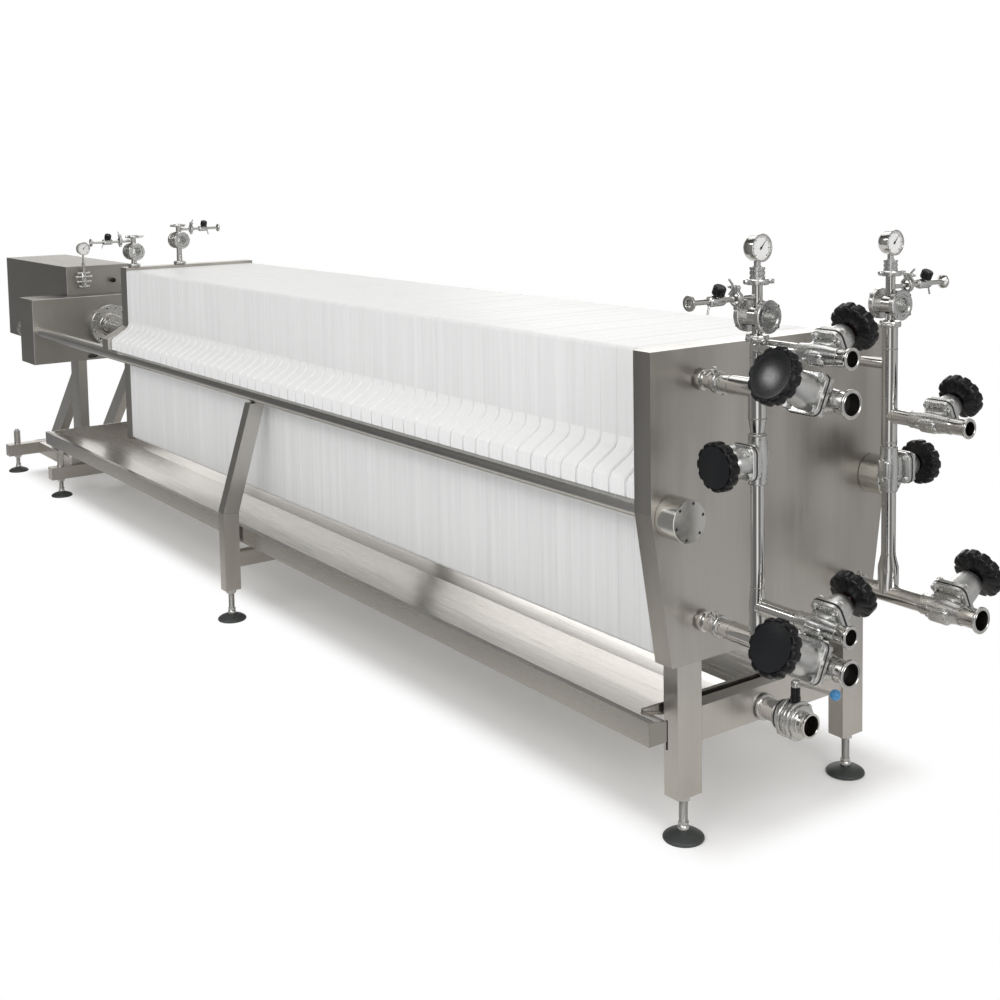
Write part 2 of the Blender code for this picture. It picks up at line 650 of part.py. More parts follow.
def tray_level(x):
    """How much higher the tray is at a place along X than at its near end."""
    return TRAY_RISE * (TRAY_FRONT - x) / (TRAY_FRONT - TRAY_BACK)


def tray_section(side):
    """One half of the tray across the press, as (Y, Z): half the valley, the folded slope and the rim."""
    half = TRAY_WIDTH / 2
    seam = SEAT_GAP / 2
    rim = half - TRAY_RIM_WIDTH
    fold = half - TRAY_FOLD_WIDTH
    valley = TRAY_VALLEY_WIDTH / 2
    top = TRAY_RIM_TOP
    fold_top = top - TRAY_FOLD_DROP
    corners = [(seam, TRAY_VALLEY_BOTTOM + TRAY_SHEET), (valley, TRAY_VALLEY_BOTTOM + TRAY_SHEET), (fold, fold_top),
               (rim, top), (half, top), (half, top - TRAY_RIM_HEIGHT), (rim, top - TRAY_RIM_HEIGHT),
               (rim, top - 2 * TRAY_SHEET), (fold, fold_top - 2 * TRAY_SHEET), (valley, TRAY_VALLEY_BOTTOM),
               (seam, TRAY_VALLEY_BOTTOM)]
    return [(side * y, z) for y, z in corners]


def sheared(name, outline, start, end, parent, surface):
    """A flat (Y, Z) outline drawn out along X from start to end, rising with the tray."""
    bm = bmesh.new()
    rings = [[bm.verts.new((x, y, z + tray_level(x))) for y, z in outline] for x in (start, end)]
    bm.faces.new(rings[0])
    bm.faces.new(reversed(rings[1]))
    count = len(outline)
    for i in range(count):
        j = (i + 1) % count
        bm.faces.new((rings[0][i], rings[1][i], rings[1][j], rings[0][j]))
    return add_object(name, mesh_from(bm, name), parent, surface)


def tray_end_outline():
    """An end wall that stands on the tray's sheet, as (Y, Z)."""
    fold = TRAY_WIDTH / 2 - TRAY_FOLD_WIDTH
    rim = TRAY_WIDTH / 2 - TRAY_RIM_WIDTH
    fold_top = TRAY_RIM_TOP - TRAY_FOLD_DROP
    reach = rim - 0.028
    reach_bottom = fold_top + TRAY_FOLD_DROP * (reach - fold) / (rim - fold)
    right = [(TRAY_VALLEY_WIDTH / 2, TRAY_VALLEY_BOTTOM + TRAY_SHEET + SEAT_GAP), (fold, fold_top + SEAT_GAP),
             (reach, reach_bottom + SEAT_GAP), (reach, TRAY_RIM_TOP - SEAT_GAP)]
    return right + [(-y, z) for y, z in reversed(right)]


def drip_tray(press, steel):
    """The tray in two halves that meet along its valley, with an end wall at each end."""
    inset = 0.003
    inner = TRAY_WIDTH / 2 - TRAY_WING_WIDTH
    notch = block("tray_notch", (TRAY_MAIN_FRONT, -inner, TRAY_VALLEY_BOTTOM - EMBED),
                  (TRAY_FRONT + EMBED, inner, TRAY_RIM_TOP + EMBED), press, steel)
    corner = block("tray_corner", (TRAY_CORNER_BACK, inner, TRAY_VALLEY_BOTTOM - EMBED),
                   (TRAY_FRONT + EMBED, TRAY_WIDTH / 2 + EMBED, TRAY_RIM_TOP + EMBED), press, steel)
    start = (TRAY_MAIN_FRONT - 0.03, DRAIN_Y, DRAIN_HEIGHT)
    end = (TRAY_MAIN_FRONT + EMBED, DRAIN_Y, DRAIN_HEIGHT)
    outlet = bar("tray_outlet", start, end, DRAIN_RADIUS + SEAT_GAP, press, steel)
    for side, name in ((-1, "left"), (1, "right")):
        half = sheared(f"drip_tray_{name}", tray_section(side), TRAY_FRONT, TRAY_BACK, press, steel)
        cut(half, notch, outlet if side < 0 else corner)
    for name, x in (("front", TRAY_MAIN_FRONT - inset), ("rear", TRAY_BACK + TRAY_END_THICKNESS + inset)):
        wall = sheared(f"tray_end_{name}", tray_end_outline(), x, x - TRAY_END_THICKNESS, press, steel)
        if name == "front":
            cut(wall, outlet, corner)


def drain_valve(press, cast, bright, blue):
    """The tray's outlet: a pipe through the cross beam, a butterfly valve and its lever."""
    start = TRAY_MAIN_FRONT - TRAY_END_THICKNESS
    throat = DRAIN_END - 0.045
    ring = DRAIN_BODY_START - 0.016
    profile = [(start, 0), (start, DRAIN_RADIUS), (SEAT_GAP, DRAIN_RADIUS), (ring, DRAIN_RADIUS), (ring, 0.038),
               (DRAIN_BODY_START, 0.038), (DRAIN_BODY_START, DRAIN_BODY_RADIUS), (DRAIN_BODY_END, DRAIN_BODY_RADIUS),
               (DRAIN_BODY_END, 0.027), (DRAIN_END - FERRULE_LENGTH, 0.027), (DRAIN_END - FERRULE_LENGTH, 0.031),
               (DRAIN_END, 0.031), (DRAIN_END, DRAIN_BORE), (throat, DRAIN_BORE), (throat, 0)]
    body = turned("drain_valve", profile, (0, DRAIN_Y, DRAIN_HEIGHT), X_AXIS, press, bright)
    stem_foot = DRAIN_HEIGHT + DRAIN_BODY_RADIUS - EMBED * 2
    stem_top = DRAIN_STEM_TOP - 0.008
    stem = bar("drain_stem", (DRAIN_STEM_X, DRAIN_Y, stem_foot), (DRAIN_STEM_X, DRAIN_Y, stem_top), 0.012,
               press, bright)
    joined(body, stem)
    lever_axis = bpy.data.objects.new("drain_lever_axis", None)
    bpy.context.scene.collection.objects.link(lever_axis)
    lever_axis.parent = press
    lever_axis.location = (DRAIN_STEM_X, DRAIN_Y, stem_top + SEAT_GAP)
    hub = bar("drain_lever", (0, 0, 0), (0, 0, LEVER_HUB_HEIGHT), LEVER_HUB_RADIUS, lever_axis, cast)
    arm_height = LEVER_HUB_HEIGHT * 0.6
    arm = bar("lever_arm", (0, 0, arm_height), (LEVER_LENGTH, 0, arm_height + 0.008), LEVER_RADIUS, lever_axis,
              cast, 8)
    ball = turned("lever_ball", ball_profile(DRAIN_BALL_RADIUS), (LEVER_LENGTH, 0, arm_height + 0.008), Z_AXIS,
                  lever_axis, blue, COARSE)
    joined(hub, arm, ball)


def ball_profile(radius, steps=6):
    points = []
    for i in range(steps + 1):
        angle = math.pi * i / steps
        reach = radius * math.sin(angle) if 0 < i < steps else 0
        points.append((-radius * math.cos(angle), reach))
    return points


def spindle_direction(side, tilt):
    return Vector((0, side * math.cos(tilt), math.sin(tilt)))


def valve_solids(name, centre, run, spindle, size, ferrule_end, press, cast):
    """The solids of one diaphragm valve: its run, saddle, flange, bonnet and spindle, and any open outlet."""
    centre = Vector(centre)
    half = size["half"]
    across = Vector(spindle).cross(run)
    solids = [bar(name, centre - run * half, centre + run * half, size["pipe"] * RUN_SWELL, press, cast)]
    turn = Matrix.Translation(centre) @ Matrix((run, across, spindle)).transposed().to_4x4()
    half_flange = size["flange"]
    reach = size["body"]
    levels = (("_flange", half_flange, half_flange, FLANGE_RISE, FLANGE_RISE + FLANGE_THICKNESS, 0.012),
              ("_saddle", reach * 1.35, reach * 0.9, -reach * 0.6, FLANGE_RISE + EMBED, 0.009))
    for part, along, wide, low, high, rounding in levels:
        solid = block(name + part, (-along, -wide, low), (along, wide, high), press, cast)
        solid.matrix_local = turn
        solids.append(rounded(solid, rounding))
    deck = FLANGE_RISE + FLANGE_THICKNESS - EMBED
    bonnet_top = size["wheel_base"] - WHEEL_CLEARANCE
    spindle_top = bonnet_top + SPINDLE_HEIGHT
    bonnet = [(deck, 0), (deck, size["bonnet"]), (deck + EMBED * 3, size["bonnet"]),
              (bonnet_top, size["bonnet"] * 0.8), (bonnet_top, SPINDLE_RADIUS), (spindle_top, SPINDLE_RADIUS),
              (spindle_top, 0)]
    solids.append(turned(name + "_bonnet", bonnet, centre, spindle, press, cast))
    if ferrule_end:
        end = ferrule_end - centre.x
        collar = end - FERRULE_LENGTH
        throat = half + EMBED
        outside = size["pipe"] * OUTLET_SWELL
        tube = [(half - EMBED, 0), (half - EMBED, outside), (collar - 0.004, outside), (collar, size["ferrule"]),
                (end, size["ferrule"]), (end, size["bore"]), (throat, size["bore"]), (throat, 0)]
        solids.append(turned(name + "_outlet", tube, centre, run, press, cast))
    return solids


def wheel_lobes(angle, radius):
    """Shallow finger grips round the rim of a handwheel."""
    if radius < 0.045:
        return radius
    return radius * (1 - 0.05 * (1 - math.cos(WHEEL_LOBES * angle)) / 2)


def wheel_mesh(name, radius):
    """A moulded handwheel, turned about Z, with a blind bore for the spindle."""
    bore = SPINDLE_RADIUS + SLIDE_GAP
    depth = SPINDLE_HEIGHT - WHEEL_CLEARANCE + SLIDE_GAP
    profile = [(depth, 0), (depth, bore), (0, bore), (0, 0.024), (0.008, radius * 0.97), (0.012, radius),
               (WHEEL_HEIGHT - 0.012, radius), (WHEEL_HEIGHT - 0.004, radius * 0.86), (WHEEL_HEIGHT, 0.020),
               (WHEEL_HEIGHT, 0)]
    return turned_mesh(name, profile, WHEEL_LOBES * 3, wheel_lobes)


def handwheel(name, centre, spindle, size, press, black):
    mesh = wheel_mesh(f"handwheel_{name}", size["wheel"])
    wheel = add_object(f"handwheel_{name}", mesh, press, black)
    wheel.matrix_local = facing(Vector(centre) + spindle * size["wheel_base"], spindle)


def outlet_valves(press, cast, black):
    """The six valves along X, each with an open ferrule."""
    left = spindle_direction(-1, VALVE_TILT)
    right = spindle_direction(1, VALVE_TILT)
    rows = [
        ("left_top", LEFT_VALVE_X, -PORT_Y, TOP_PORT_HEIGHT, left, LARGE_VALVE, LEFT_FERRULE_X),
        ("left_top_small", LEFT_VALVE_X, -PORT_Y, LEFT_UPPER_BRANCH, right, SMALL_VALVE, LEFT_FERRULE_X),
        ("left_bottom", LEFT_VALVE_X, -PORT_Y, BOTTOM_PORT_HEIGHT, left, LARGE_VALVE, LEFT_FERRULE_X),
        ("left_bottom_small", LEFT_VALVE_X, -PORT_Y, LEFT_LOWER_BRANCH, right, SMALL_VALVE, LEFT_FERRULE_X),
        ("right_top", RIGHT_SMALL_VALVE_X, PORT_Y, RIGHT_BRANCH, right, SMALL_VALVE, RIGHT_SMALL_FERRULE_X),
        ("right_bottom", RIGHT_LARGE_VALVE_X, PORT_Y, BOTTOM_PORT_HEIGHT, right, LARGE_VALVE,
         RIGHT_LARGE_FERRULE_X),
    ]
    for name, x, y, z, spindle, size, ferrule_end in rows:
        solids = valve_solids(f"valve_{name}", (x, y, z), X_AXIS, spindle, size, ferrule_end, press, cast)
        joined(solids[0], *solids[1:])
        handwheel(name, (x, y, z), spindle, size, press, black)


def port_pipe(name, y, height, end, radius, press, bright):
    """A pipe along X from the head's face, with a ring at its root and two clamp collars."""
    collar = radius + PORT_RING_RADIUS - PIPE_RADIUS
    profile = [(SEAT_GAP, 0), (SEAT_GAP, collar), (PORT_RING_LENGTH, collar), (PORT_RING_LENGTH, radius)]
    for place in CLAMP_PLACES:
        profile += [(place, radius), (place, collar), (place + CLAMP_LENGTH, collar), (place + CLAMP_LENGTH, radius)]
    profile += [(end, radius), (end, 0)]
    return turned(name, profile, (0, y, height), X_AXIS, press, bright)


def left_manifold(press, bright, cast, black):
    y = -PORT_Y
    x = LEFT_RISER_X
    top_reducer, top_slim, low_slim, low_reducer = LEFT_REDUCERS
    large_end = LEFT_VALVE_X - LARGE_VALVE["half"] - SEAT_GAP
    small_end = LEFT_VALVE_X - SMALL_VALVE["half"] - SEAT_GAP
    manifold = port_pipe("manifold_left", y, TOP_PORT_HEIGHT, large_end, PIPE_RADIUS, press, bright)
    neck = LEFT_STACK_BASE - SEAT_GAP
    riser = [(BOTTOM_PORT_HEIGHT, 0), (BOTTOM_PORT_HEIGHT, PIPE_RADIUS), (low_reducer, PIPE_RADIUS),
             (low_slim, RISER_RADIUS), (top_slim, RISER_RADIUS), (top_reducer, PIPE_RADIUS),
             (TOP_PORT_HEIGHT, PIPE_RADIUS), (TOP_PORT_HEIGHT + 0.03, RISER_RADIUS),
             (neck - 0.006, RISER_RADIUS), (neck - 0.006, SMALL_CLAMP_RADIUS), (neck, SMALL_CLAMP_RADIUS), (neck, 0)]
    others = [turned("left_riser", riser, (x, y, 0), Z_AXIS, press, bright),
              port_pipe("left_bottom_port", y, BOTTOM_PORT_HEIGHT, large_end, PIPE_RADIUS, press, bright)]
    for height in (LEFT_UPPER_BRANCH, LEFT_LOWER_BRANCH):
        others.append(bar("left_branch", (x, y, height), (small_end, y, height), SMALL_PIPE_RADIUS, press, bright))
    centre = (x, y, LEFT_MIDDLE_HEIGHT)
    others += valve_solids("left_middle", centre, Z_AXIS, -Y_AXIS, SMALL_VALVE, None, press, cast)
    joined(manifold, *others)
    handwheel("left_middle", centre, -Y_AXIS, SMALL_VALVE, press, black)


def right_manifold(press, bright, cast, black):
    y = PORT_Y
    x = RIGHT_RISER_X
    slim, wide = RIGHT_REDUCERS
    large_end = RIGHT_LARGE_VALVE_X - LARGE_VALVE["half"] - SEAT_GAP
    small_end = RIGHT_SMALL_VALVE_X - SMALL_VALVE["half"] - SEAT_GAP
    manifold = port_pipe("manifold_right", y, BOTTOM_PORT_HEIGHT, large_end, PIPE_RADIUS, press, bright)
    neck = RIGHT_STACK_BASE - SEAT_GAP
    riser = [(BOTTOM_PORT_HEIGHT, 0), (BOTTOM_PORT_HEIGHT, PIPE_RADIUS), (wide, PIPE_RADIUS), (slim, RISER_RADIUS),
             (neck - 0.006, RISER_RADIUS), (neck - 0.006, SMALL_CLAMP_RADIUS), (neck, SMALL_CLAMP_RADIUS), (neck, 0)]
    others = [turned("right_riser", riser, (x, y, 0), Z_AXIS, press, bright)]
    others.append(port_pipe("right_top_port", y, TOP_PORT_HEIGHT, x, SLIM_PIPE_RADIUS, press, bright))
    others.append(bar("right_branch", (x, y, RIGHT_BRANCH), (small_end, y, RIGHT_BRANCH), SMALL_PIPE_RADIUS,
                      press, bright))
    centre = (x, y, RIGHT_MIDDLE_HEIGHT)
    others += valve_solids("right_middle", centre, Z_AXIS, Y_AXIS, SMALL_VALVE, None, press, cast)
    joined(manifold, *others)
    handwheel("right_middle", centre, Y_AXIS, SMALL_VALVE, press, black)


def sight_glass(name, place, rise, top, parent, bright):
    """A sight glass on a neck with a clamp collar, its cross body along X, and the column above it."""
    column = turned(name, [(0, 0), (0, SMALL_CLAMP_RADIUS), (SMALL_CLAMP_LENGTH, SMALL_CLAMP_RADIUS),
                           (SMALL_CLAMP_LENGTH, NECK_RADIUS), (top, NECK_RADIUS), (top, 0)],
                    place, Z_AXIS, parent, bright)
    half = SIGHT_DEPTH / 2
    waist = half - SIGHT_RING_LENGTH
    profile = [(-half, 0), (-half, SIGHT_RING_RADIUS), (-waist, SIGHT_RING_RADIUS), (-waist, SIGHT_RADIUS),
               (waist, SIGHT_RADIUS), (waist, SIGHT_RING_RADIUS), (half, SIGHT_RING_RADIUS), (half, 0)]
    centre = Vector(place) + Z_AXIS * rise
    return column, turned(name + "_cross", profile, centre, X_AXIS, parent, bright)


def sample_valve(name, start, direction, reach, parent, bright):
    """A small tube with a needle valve on the way, ending in a ferrule."""
    collar = reach * 0.28
    body = reach * 0.50
    body_end = reach * 0.72
    ferrule = reach - MINI_FERRULE_LENGTH
    tube = [(0, 0), (0, TUBE_RADIUS), (collar, TUBE_RADIUS), (collar, MINI_FERRULE_RADIUS),
            (collar + SMALL_CLAMP_LENGTH, MINI_FERRULE_RADIUS), (collar + SMALL_CLAMP_LENGTH, TUBE_RADIUS),
            (body, TUBE_RADIUS), (body, 0.013), (body_end, 0.013), (body_end, TUBE_RADIUS),
            (ferrule, TUBE_RADIUS), (ferrule, MINI_FERRULE_RADIUS), (reach, MINI_FERRULE_RADIUS), (reach, 0)]
    pipe = turned(name, tube, start, direction, parent, bright, COARSE)
    knob_place = Vector(start) + Vector(direction) * ((body + body_end) / 2)
    knob = turned(name + "_knob", [(0, 0), (0, 0.007), (0.022, 0.007), (0.022, 0.012), (0.042, 0.012), (0.042, 0)],
                  knob_place, Z_AXIS, parent, bright, COARSE)
    return pipe, knob


def instrument_stacks(press, bright):
    """On each riser a sight glass, a sample valve turned outward and a gauge."""
    for name, side, x, base in (("left", -1, LEFT_RISER_X, LEFT_STACK_BASE),
                                ("right", 1, RIGHT_RISER_X, RIGHT_STACK_BASE)):
        place = (x, side * PORT_Y, base)
        column, cross = sight_glass(f"instruments_{name}", place, STACK_SIGHT_RISE, STACK_GAUGE_RISE, press, bright)
        clamp = turned("stack_clamp", ring_profile(STACK_TOP_CLAMP_RISE, STACK_TOP_CLAMP_RISE + SMALL_CLAMP_LENGTH,
                                                   SMALL_CLAMP_RADIUS), place, Z_AXIS, press, bright)
        start = Vector(place) + Z_AXIS * STACK_SAMPLE_RISE
        pipe, knob = sample_valve("stack_sample", start, Y_AXIS * side, SAMPLE_REACH, press, bright)
        middle = Vector(place) + Z_AXIS * STACK_GAUGE_RISE
        case = bar("gauge_case", middle - X_AXIS * GAUGE_DEPTH / 2, middle + X_AXIS * GAUGE_DEPTH / 2,
                   GAUGE_RADIUS, press, bright, FINE)
        joined(column, cross, clamp, pipe, knob, case)


def vents(slide, bright):
    """Two vent sets on top of the moving head, each with a sight glass and a sample valve."""
    top = MOVING_HEAD_TOP - ROD_HEIGHT + SEAT_GAP
    x = -MOVING_HEAD_THICKNESS / 2
    for name, y, rise, direction in (("left", VENT_LEFT_Y, VENT_LEFT_RISE, -Y_AXIS),
                                     ("right", VENT_RIGHT_Y, VENT_RIGHT_RISE, Y_AXIS)):
        place = (x, y, top)
        end = rise + VENT_TOP_RISE
        column, cross = sight_glass(f"vent_{name}", place, rise, end, slide, bright)
        clamp = turned("vent_clamp", ring_profile(end - SMALL_CLAMP_LENGTH, end, SMALL_CLAMP_RADIUS), place, Z_AXIS,
                       slide, bright)
        start = Vector(place) + Z_AXIS * (rise + VENT_SAMPLE_RISE)
        pipe, knob = sample_valve("vent_sample", start, direction, VENT_REACH, slide, bright)
        joined(column, cross, clamp, pipe, knob)


def centre_on_origin(press):
    """Moves the press along X and Y so that the middle of its bounding box is over the origin."""
    graph = bpy.context.evaluated_depsgraph_get()
    low = [math.inf, math.inf]
    high = [-math.inf, -math.inf]
    for made in bpy.context.scene.objects:
        if made.type != "MESH" or made.hide_render:
            continue
        solid = made.evaluated_get(graph)
        for corner in solid.bound_box:
            point = solid.matrix_world @ Vector(corner)
            for axis in (0, 1):
                low[axis] = min(low[axis], point[axis])
                high[axis] = max(high[axis], point[axis])
    press.location = (-(low[0] + high[0]) / 2, -(low[1] + high[1]) / 2, 0)


def build():
    clear_scene()
    steel = material("brushed_steel", (0.42, 0.40, 0.37), 0.38, 1.0)
    bright = material("polished_steel", (0.62, 0.61, 0.60), 0.15, 1.0)
    cast = material("satin_cast_steel", (0.55, 0.55, 0.54), 0.30, 1.0)
    dark = material("enclosure_steel", (0.36, 0.35, 0.32), 0.42, 1.0)
    plastic = material("white_plastic", (0.86, 0.87, 0.87), 0.35, 0.0)
    black = material("black_plastic", (0.02, 0.02, 0.022), 0.30, 0.0)
    rubber = material("foot_plastic", (0.05, 0.055, 0.055), 0.50, 0.0)
    blue = material("blue_plastic", (0.10, 0.33, 0.62), 0.30, 0.0)
    press = bpy.data.objects.new("press", None)
    bpy.context.scene.collection.objects.link(press)
    fixed_head(press, steel)
    tie_rods(press, bright)
    plate_pack(press, plastic)
    slide = moving_head(press, steel, bright)
    yoke_and_cylinder(press, steel, dark, bright)
    hydraulic_control(press, steel, bright, black)
    rear_base(press, steel, rubber)
    near_legs(press, steel, rubber)
    mid_legs(press, steel, rubber)
    drip_tray(press, steel)
    drain_valve(press, cast, bright, blue)
    outlet_valves(press, cast, black)
    left_manifold(press, bright, cast, black)
    right_manifold(press, bright, cast, black)
    instrument_stacks(press, bright)
    vents(slide, bright)
    bpy.context.view_layer.update()
    centre_on_origin(press)
    bpy.context.view_layer.update()


build()
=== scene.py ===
"""The plate filter press as it looks in a studio: detailed pieces and materials on the CAD frame.

Sizes are in metres in the press's own frame, where X = 0 is the outer face of the fixed head. Each form is moved
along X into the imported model's frame when it is finished.
"""
import math
import random

import bmesh
import bpy
from mathutils import Matrix, Vector

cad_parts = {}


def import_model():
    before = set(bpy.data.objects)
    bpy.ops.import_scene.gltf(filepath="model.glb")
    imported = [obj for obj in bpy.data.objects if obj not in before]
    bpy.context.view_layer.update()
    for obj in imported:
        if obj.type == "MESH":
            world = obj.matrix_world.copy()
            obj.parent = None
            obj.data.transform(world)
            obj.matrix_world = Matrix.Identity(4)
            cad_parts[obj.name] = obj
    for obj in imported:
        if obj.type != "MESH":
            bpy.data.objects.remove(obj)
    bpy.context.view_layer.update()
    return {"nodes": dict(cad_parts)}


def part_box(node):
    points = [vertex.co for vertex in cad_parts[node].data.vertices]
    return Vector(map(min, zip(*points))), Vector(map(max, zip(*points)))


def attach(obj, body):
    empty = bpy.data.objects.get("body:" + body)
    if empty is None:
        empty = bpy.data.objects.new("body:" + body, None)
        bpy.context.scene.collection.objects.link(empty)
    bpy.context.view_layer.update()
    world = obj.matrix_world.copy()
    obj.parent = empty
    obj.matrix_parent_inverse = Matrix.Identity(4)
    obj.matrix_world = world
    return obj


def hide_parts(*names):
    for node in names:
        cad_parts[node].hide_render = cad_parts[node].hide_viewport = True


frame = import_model()
nodes = frame["nodes"]
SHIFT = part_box("fixed_head")[1].x
X_AXIS = Vector((1, 0, 0))
Y_AXIS = Vector((0, 1, 0))
Z_AXIS = Vector((0, 0, 1))

# Camera, fitted to the photograph
CAMERA_PLACE = (2.3964, -2.5607, 1.6843)
CAMERA_YAW = math.radians(54.494)
CAMERA_PITCH = math.radians(5.0)
CAMERA_ROLL = math.radians(-1.001)
CAMERA_LENS = 49.66
CAMERA_SHIFT = -0.2194


# Materials

def fill(node, inputs):
    """Sets a shader node's inputs, by name or number; a value that is a socket is linked."""
    for name, value in inputs.items():
        if isinstance(value, bpy.types.NodeSocket):
            node.id_data.links.new(value, node.inputs[name])
        else:
            node.inputs[name].default_value = value
    return node


def add(tree, kind, inputs, **properties):
    """A new shader node with its properties and inputs set."""
    node = tree.nodes.new("ShaderNode" + kind)
    for name, value in properties.items():
        setattr(node, name, value)
    return fill(node, inputs)


def surface(name, colour, roughness, metallic=0.0, grain=(60, 60, 60), tint=0.05, spread=0.06, bump=0.1,
            depth=0.0003, smudge_and_sheen=0.0, smudge_and_sheen_colour=(0.2, 0.19, 0.17), coat=0.0, transmission=0.0, specular=0.5):
    """A procedural material: fine grain and broad smudges in its colour, roughness and relief; on the black disc the
    broad patches are a painted bluish sheen.
    """
    made = bpy.data.materials.new(name)
    made.use_nodes = True
    tree = made.node_tree
    place = add(tree, "TexCoord", {}).outputs["Object"]

    def noise(scale, detail):
        stretched = add(tree, "Mapping", {"Vector": place, "Scale": scale}).outputs["Vector"]
        return add(tree, "TexNoise", {"Vector": stretched, "Scale": 1.0, "Detail": detail}).outputs["Fac"]

    fine = noise(grain, 5.0)
    broad = noise([0.5 + 3.0 * g / max(grain) for g in grain], 4.0)
    shades = add(tree, "Mix", {"Factor": fine, "A": (*[c * (1 - tint) for c in colour], 1),
                               "B": (*[min(1, c * (1 + tint)) for c in colour], 1)}, data_type="RGBA")
    patches = add(tree, "MapRange", {"Value": broad, "From Min": 0.42, "From Max": 0.75, "To Max": smudge_and_sheen})
    smudged_and_sheened = add(tree, "Mix", {"Factor": patches.outputs["Result"], "A": shades.outputs["Result"],
                                "B": (*smudge_and_sheen_colour, 1)}, data_type="RGBA")
    gloss = add(tree, "MapRange", {"Value": fine, "From Min": 0.3, "From Max": 0.7,
                                   "To Min": max(0.02, roughness - spread), "To Max": roughness + spread})
    relief = add(tree, "Bump", {"Height": fine, "Strength": bump, "Distance": depth})
    fill(tree.nodes["Principled BSDF"], {
        "Base Color": smudged_and_sheened.outputs["Result"], "Roughness": gloss.outputs["Result"],
        "Normal": relief.outputs["Normal"], "Metallic": metallic, "Specular IOR Level": specular,
        "Coat Weight": coat, "Coat Roughness": 0.08, "Transmission Weight": transmission})
    return made


BRUSH_TALL = (240, 240, 6)
BRUSH_LONG = (5, 220, 220)
BRUSH_WIDE = (220, 5, 220)
HEAD_STEEL = surface("head_steel", (0.57, 0.545, 0.51), 0.33, 1, BRUSH_TALL, 0.07, 0.05, 0.03, smudge_and_sheen=1.0,
                     smudge_and_sheen_colour=(0.28, 0.26, 0.23))
FRAME_STEEL = surface("frame_steel", (0.62, 0.60, 0.57), 0.34, 1, BRUSH_TALL, 0.08, 0.06, 0.06, smudge_and_sheen=0.30)
BEAM_STEEL = surface("beam_steel", (0.64, 0.62, 0.59), 0.34, 1, BRUSH_WIDE, 0.08, 0.06, 0.06, smudge_and_sheen=0.30)
TRAY_STEEL = surface("tray_steel", (0.58, 0.56, 0.53), 0.24, 1, BRUSH_LONG, 0.08, 0.05, 0.06, smudge_and_sheen=0.25)
# Dark steel for the insides of bores: painted shade.
BORE_PAINTED_SHADE = surface("bore_painted_shade", (0.20, 0.18, 0.16), 0.30, 1, (90, 90, 90), 0.10, 0.05, 0.05, smudge_and_sheen=0.2)
BRIGHT_STEEL = surface("bright_steel", (0.68, 0.67, 0.65), 0.13, 1, (90, 90, 90), 0.04, 0.03, 0.03, smudge_and_sheen=0.06)
ROD_STEEL = surface("rod_steel", (0.68, 0.67, 0.64), 0.22, 1, (400, 60, 60), 0.05, 0.04, 0.04, smudge_and_sheen=0.1)
CAST_STEEL = surface("cast_steel", (0.64, 0.64, 0.63), 0.27, 1, (160, 160, 160), 0.05, 0.05, 0.02, smudge_and_sheen=0.12)
BOLT_STEEL = surface("bolt_steel", (0.64, 0.64, 0.63), 0.33, 1, (160, 160, 160), 0.06, 0.05, 0.02)
WELD_STEEL = surface("weld_steel", (0.36, 0.35, 0.33), 0.45, 1, (700, 700, 700), 0.2, 0.1, 0.5, 0.0006)
DARK_STEEL = surface("dark_steel", (0.42, 0.405, 0.38), 0.40, 1, BRUSH_LONG, 0.10, 0.08, 0.12, smudge_and_sheen=0.3)
WHITE_PLASTIC = surface("white_plastic", (0.725, 0.73, 0.73), 0.42, 0, (75, 75, 1.3), 0.11, 0.05, 0.03, smudge_and_sheen=0.10,
                        smudge_and_sheen_colour=(0.58, 0.59, 0.58), specular=0.3)
LUG_PLASTIC = surface("lug_plastic", (0.79, 0.795, 0.795), 0.42, 0, (260, 60, 2), 0.09, 0.05, 0.03, smudge_and_sheen=0.06,
                      smudge_and_sheen_colour=(0.64, 0.63, 0.62), specular=0.3)
BLACK_PLASTIC = surface("black_plastic", (0.004, 0.004, 0.005), 0.26, 0, (500, 500, 500), 0.25, 0.05, 0.03,
                        smudge_and_sheen=0.08, smudge_and_sheen_colour=(0.02, 0.02, 0.02), specular=0.32)
# The disc's bluish tint and its lighter bluish patches are painted sheen.
BLACK_DISC = surface("black_disc", (0.004, 0.0045, 0.0055), 0.18, 0, (300, 300, 300), 0.25, 0.05, 0.03,
                     smudge_and_sheen=0.25, smudge_and_sheen_colour=(0.014, 0.016, 0.021), specular=0.6)
FOOT_PLASTIC = surface("foot_plastic", (0.040, 0.047, 0.045), 0.48, 0, (400, 400, 400), 0.2, 0.08, 0.15,
                       smudge_and_sheen=0.3, smudge_and_sheen_colour=(0.10, 0.10, 0.09))
BLUE_PLASTIC = surface("blue_plastic", (0.045, 0.22, 0.46), 0.26, 0, (300, 300, 300), 0.08, 0.05, 0.04, coat=0.3)
RED_PLASTIC = surface("red_plastic", (0.36, 0.012, 0.02), 0.34, 0, (300, 300, 300), 0.08, 0.05, 0.04)
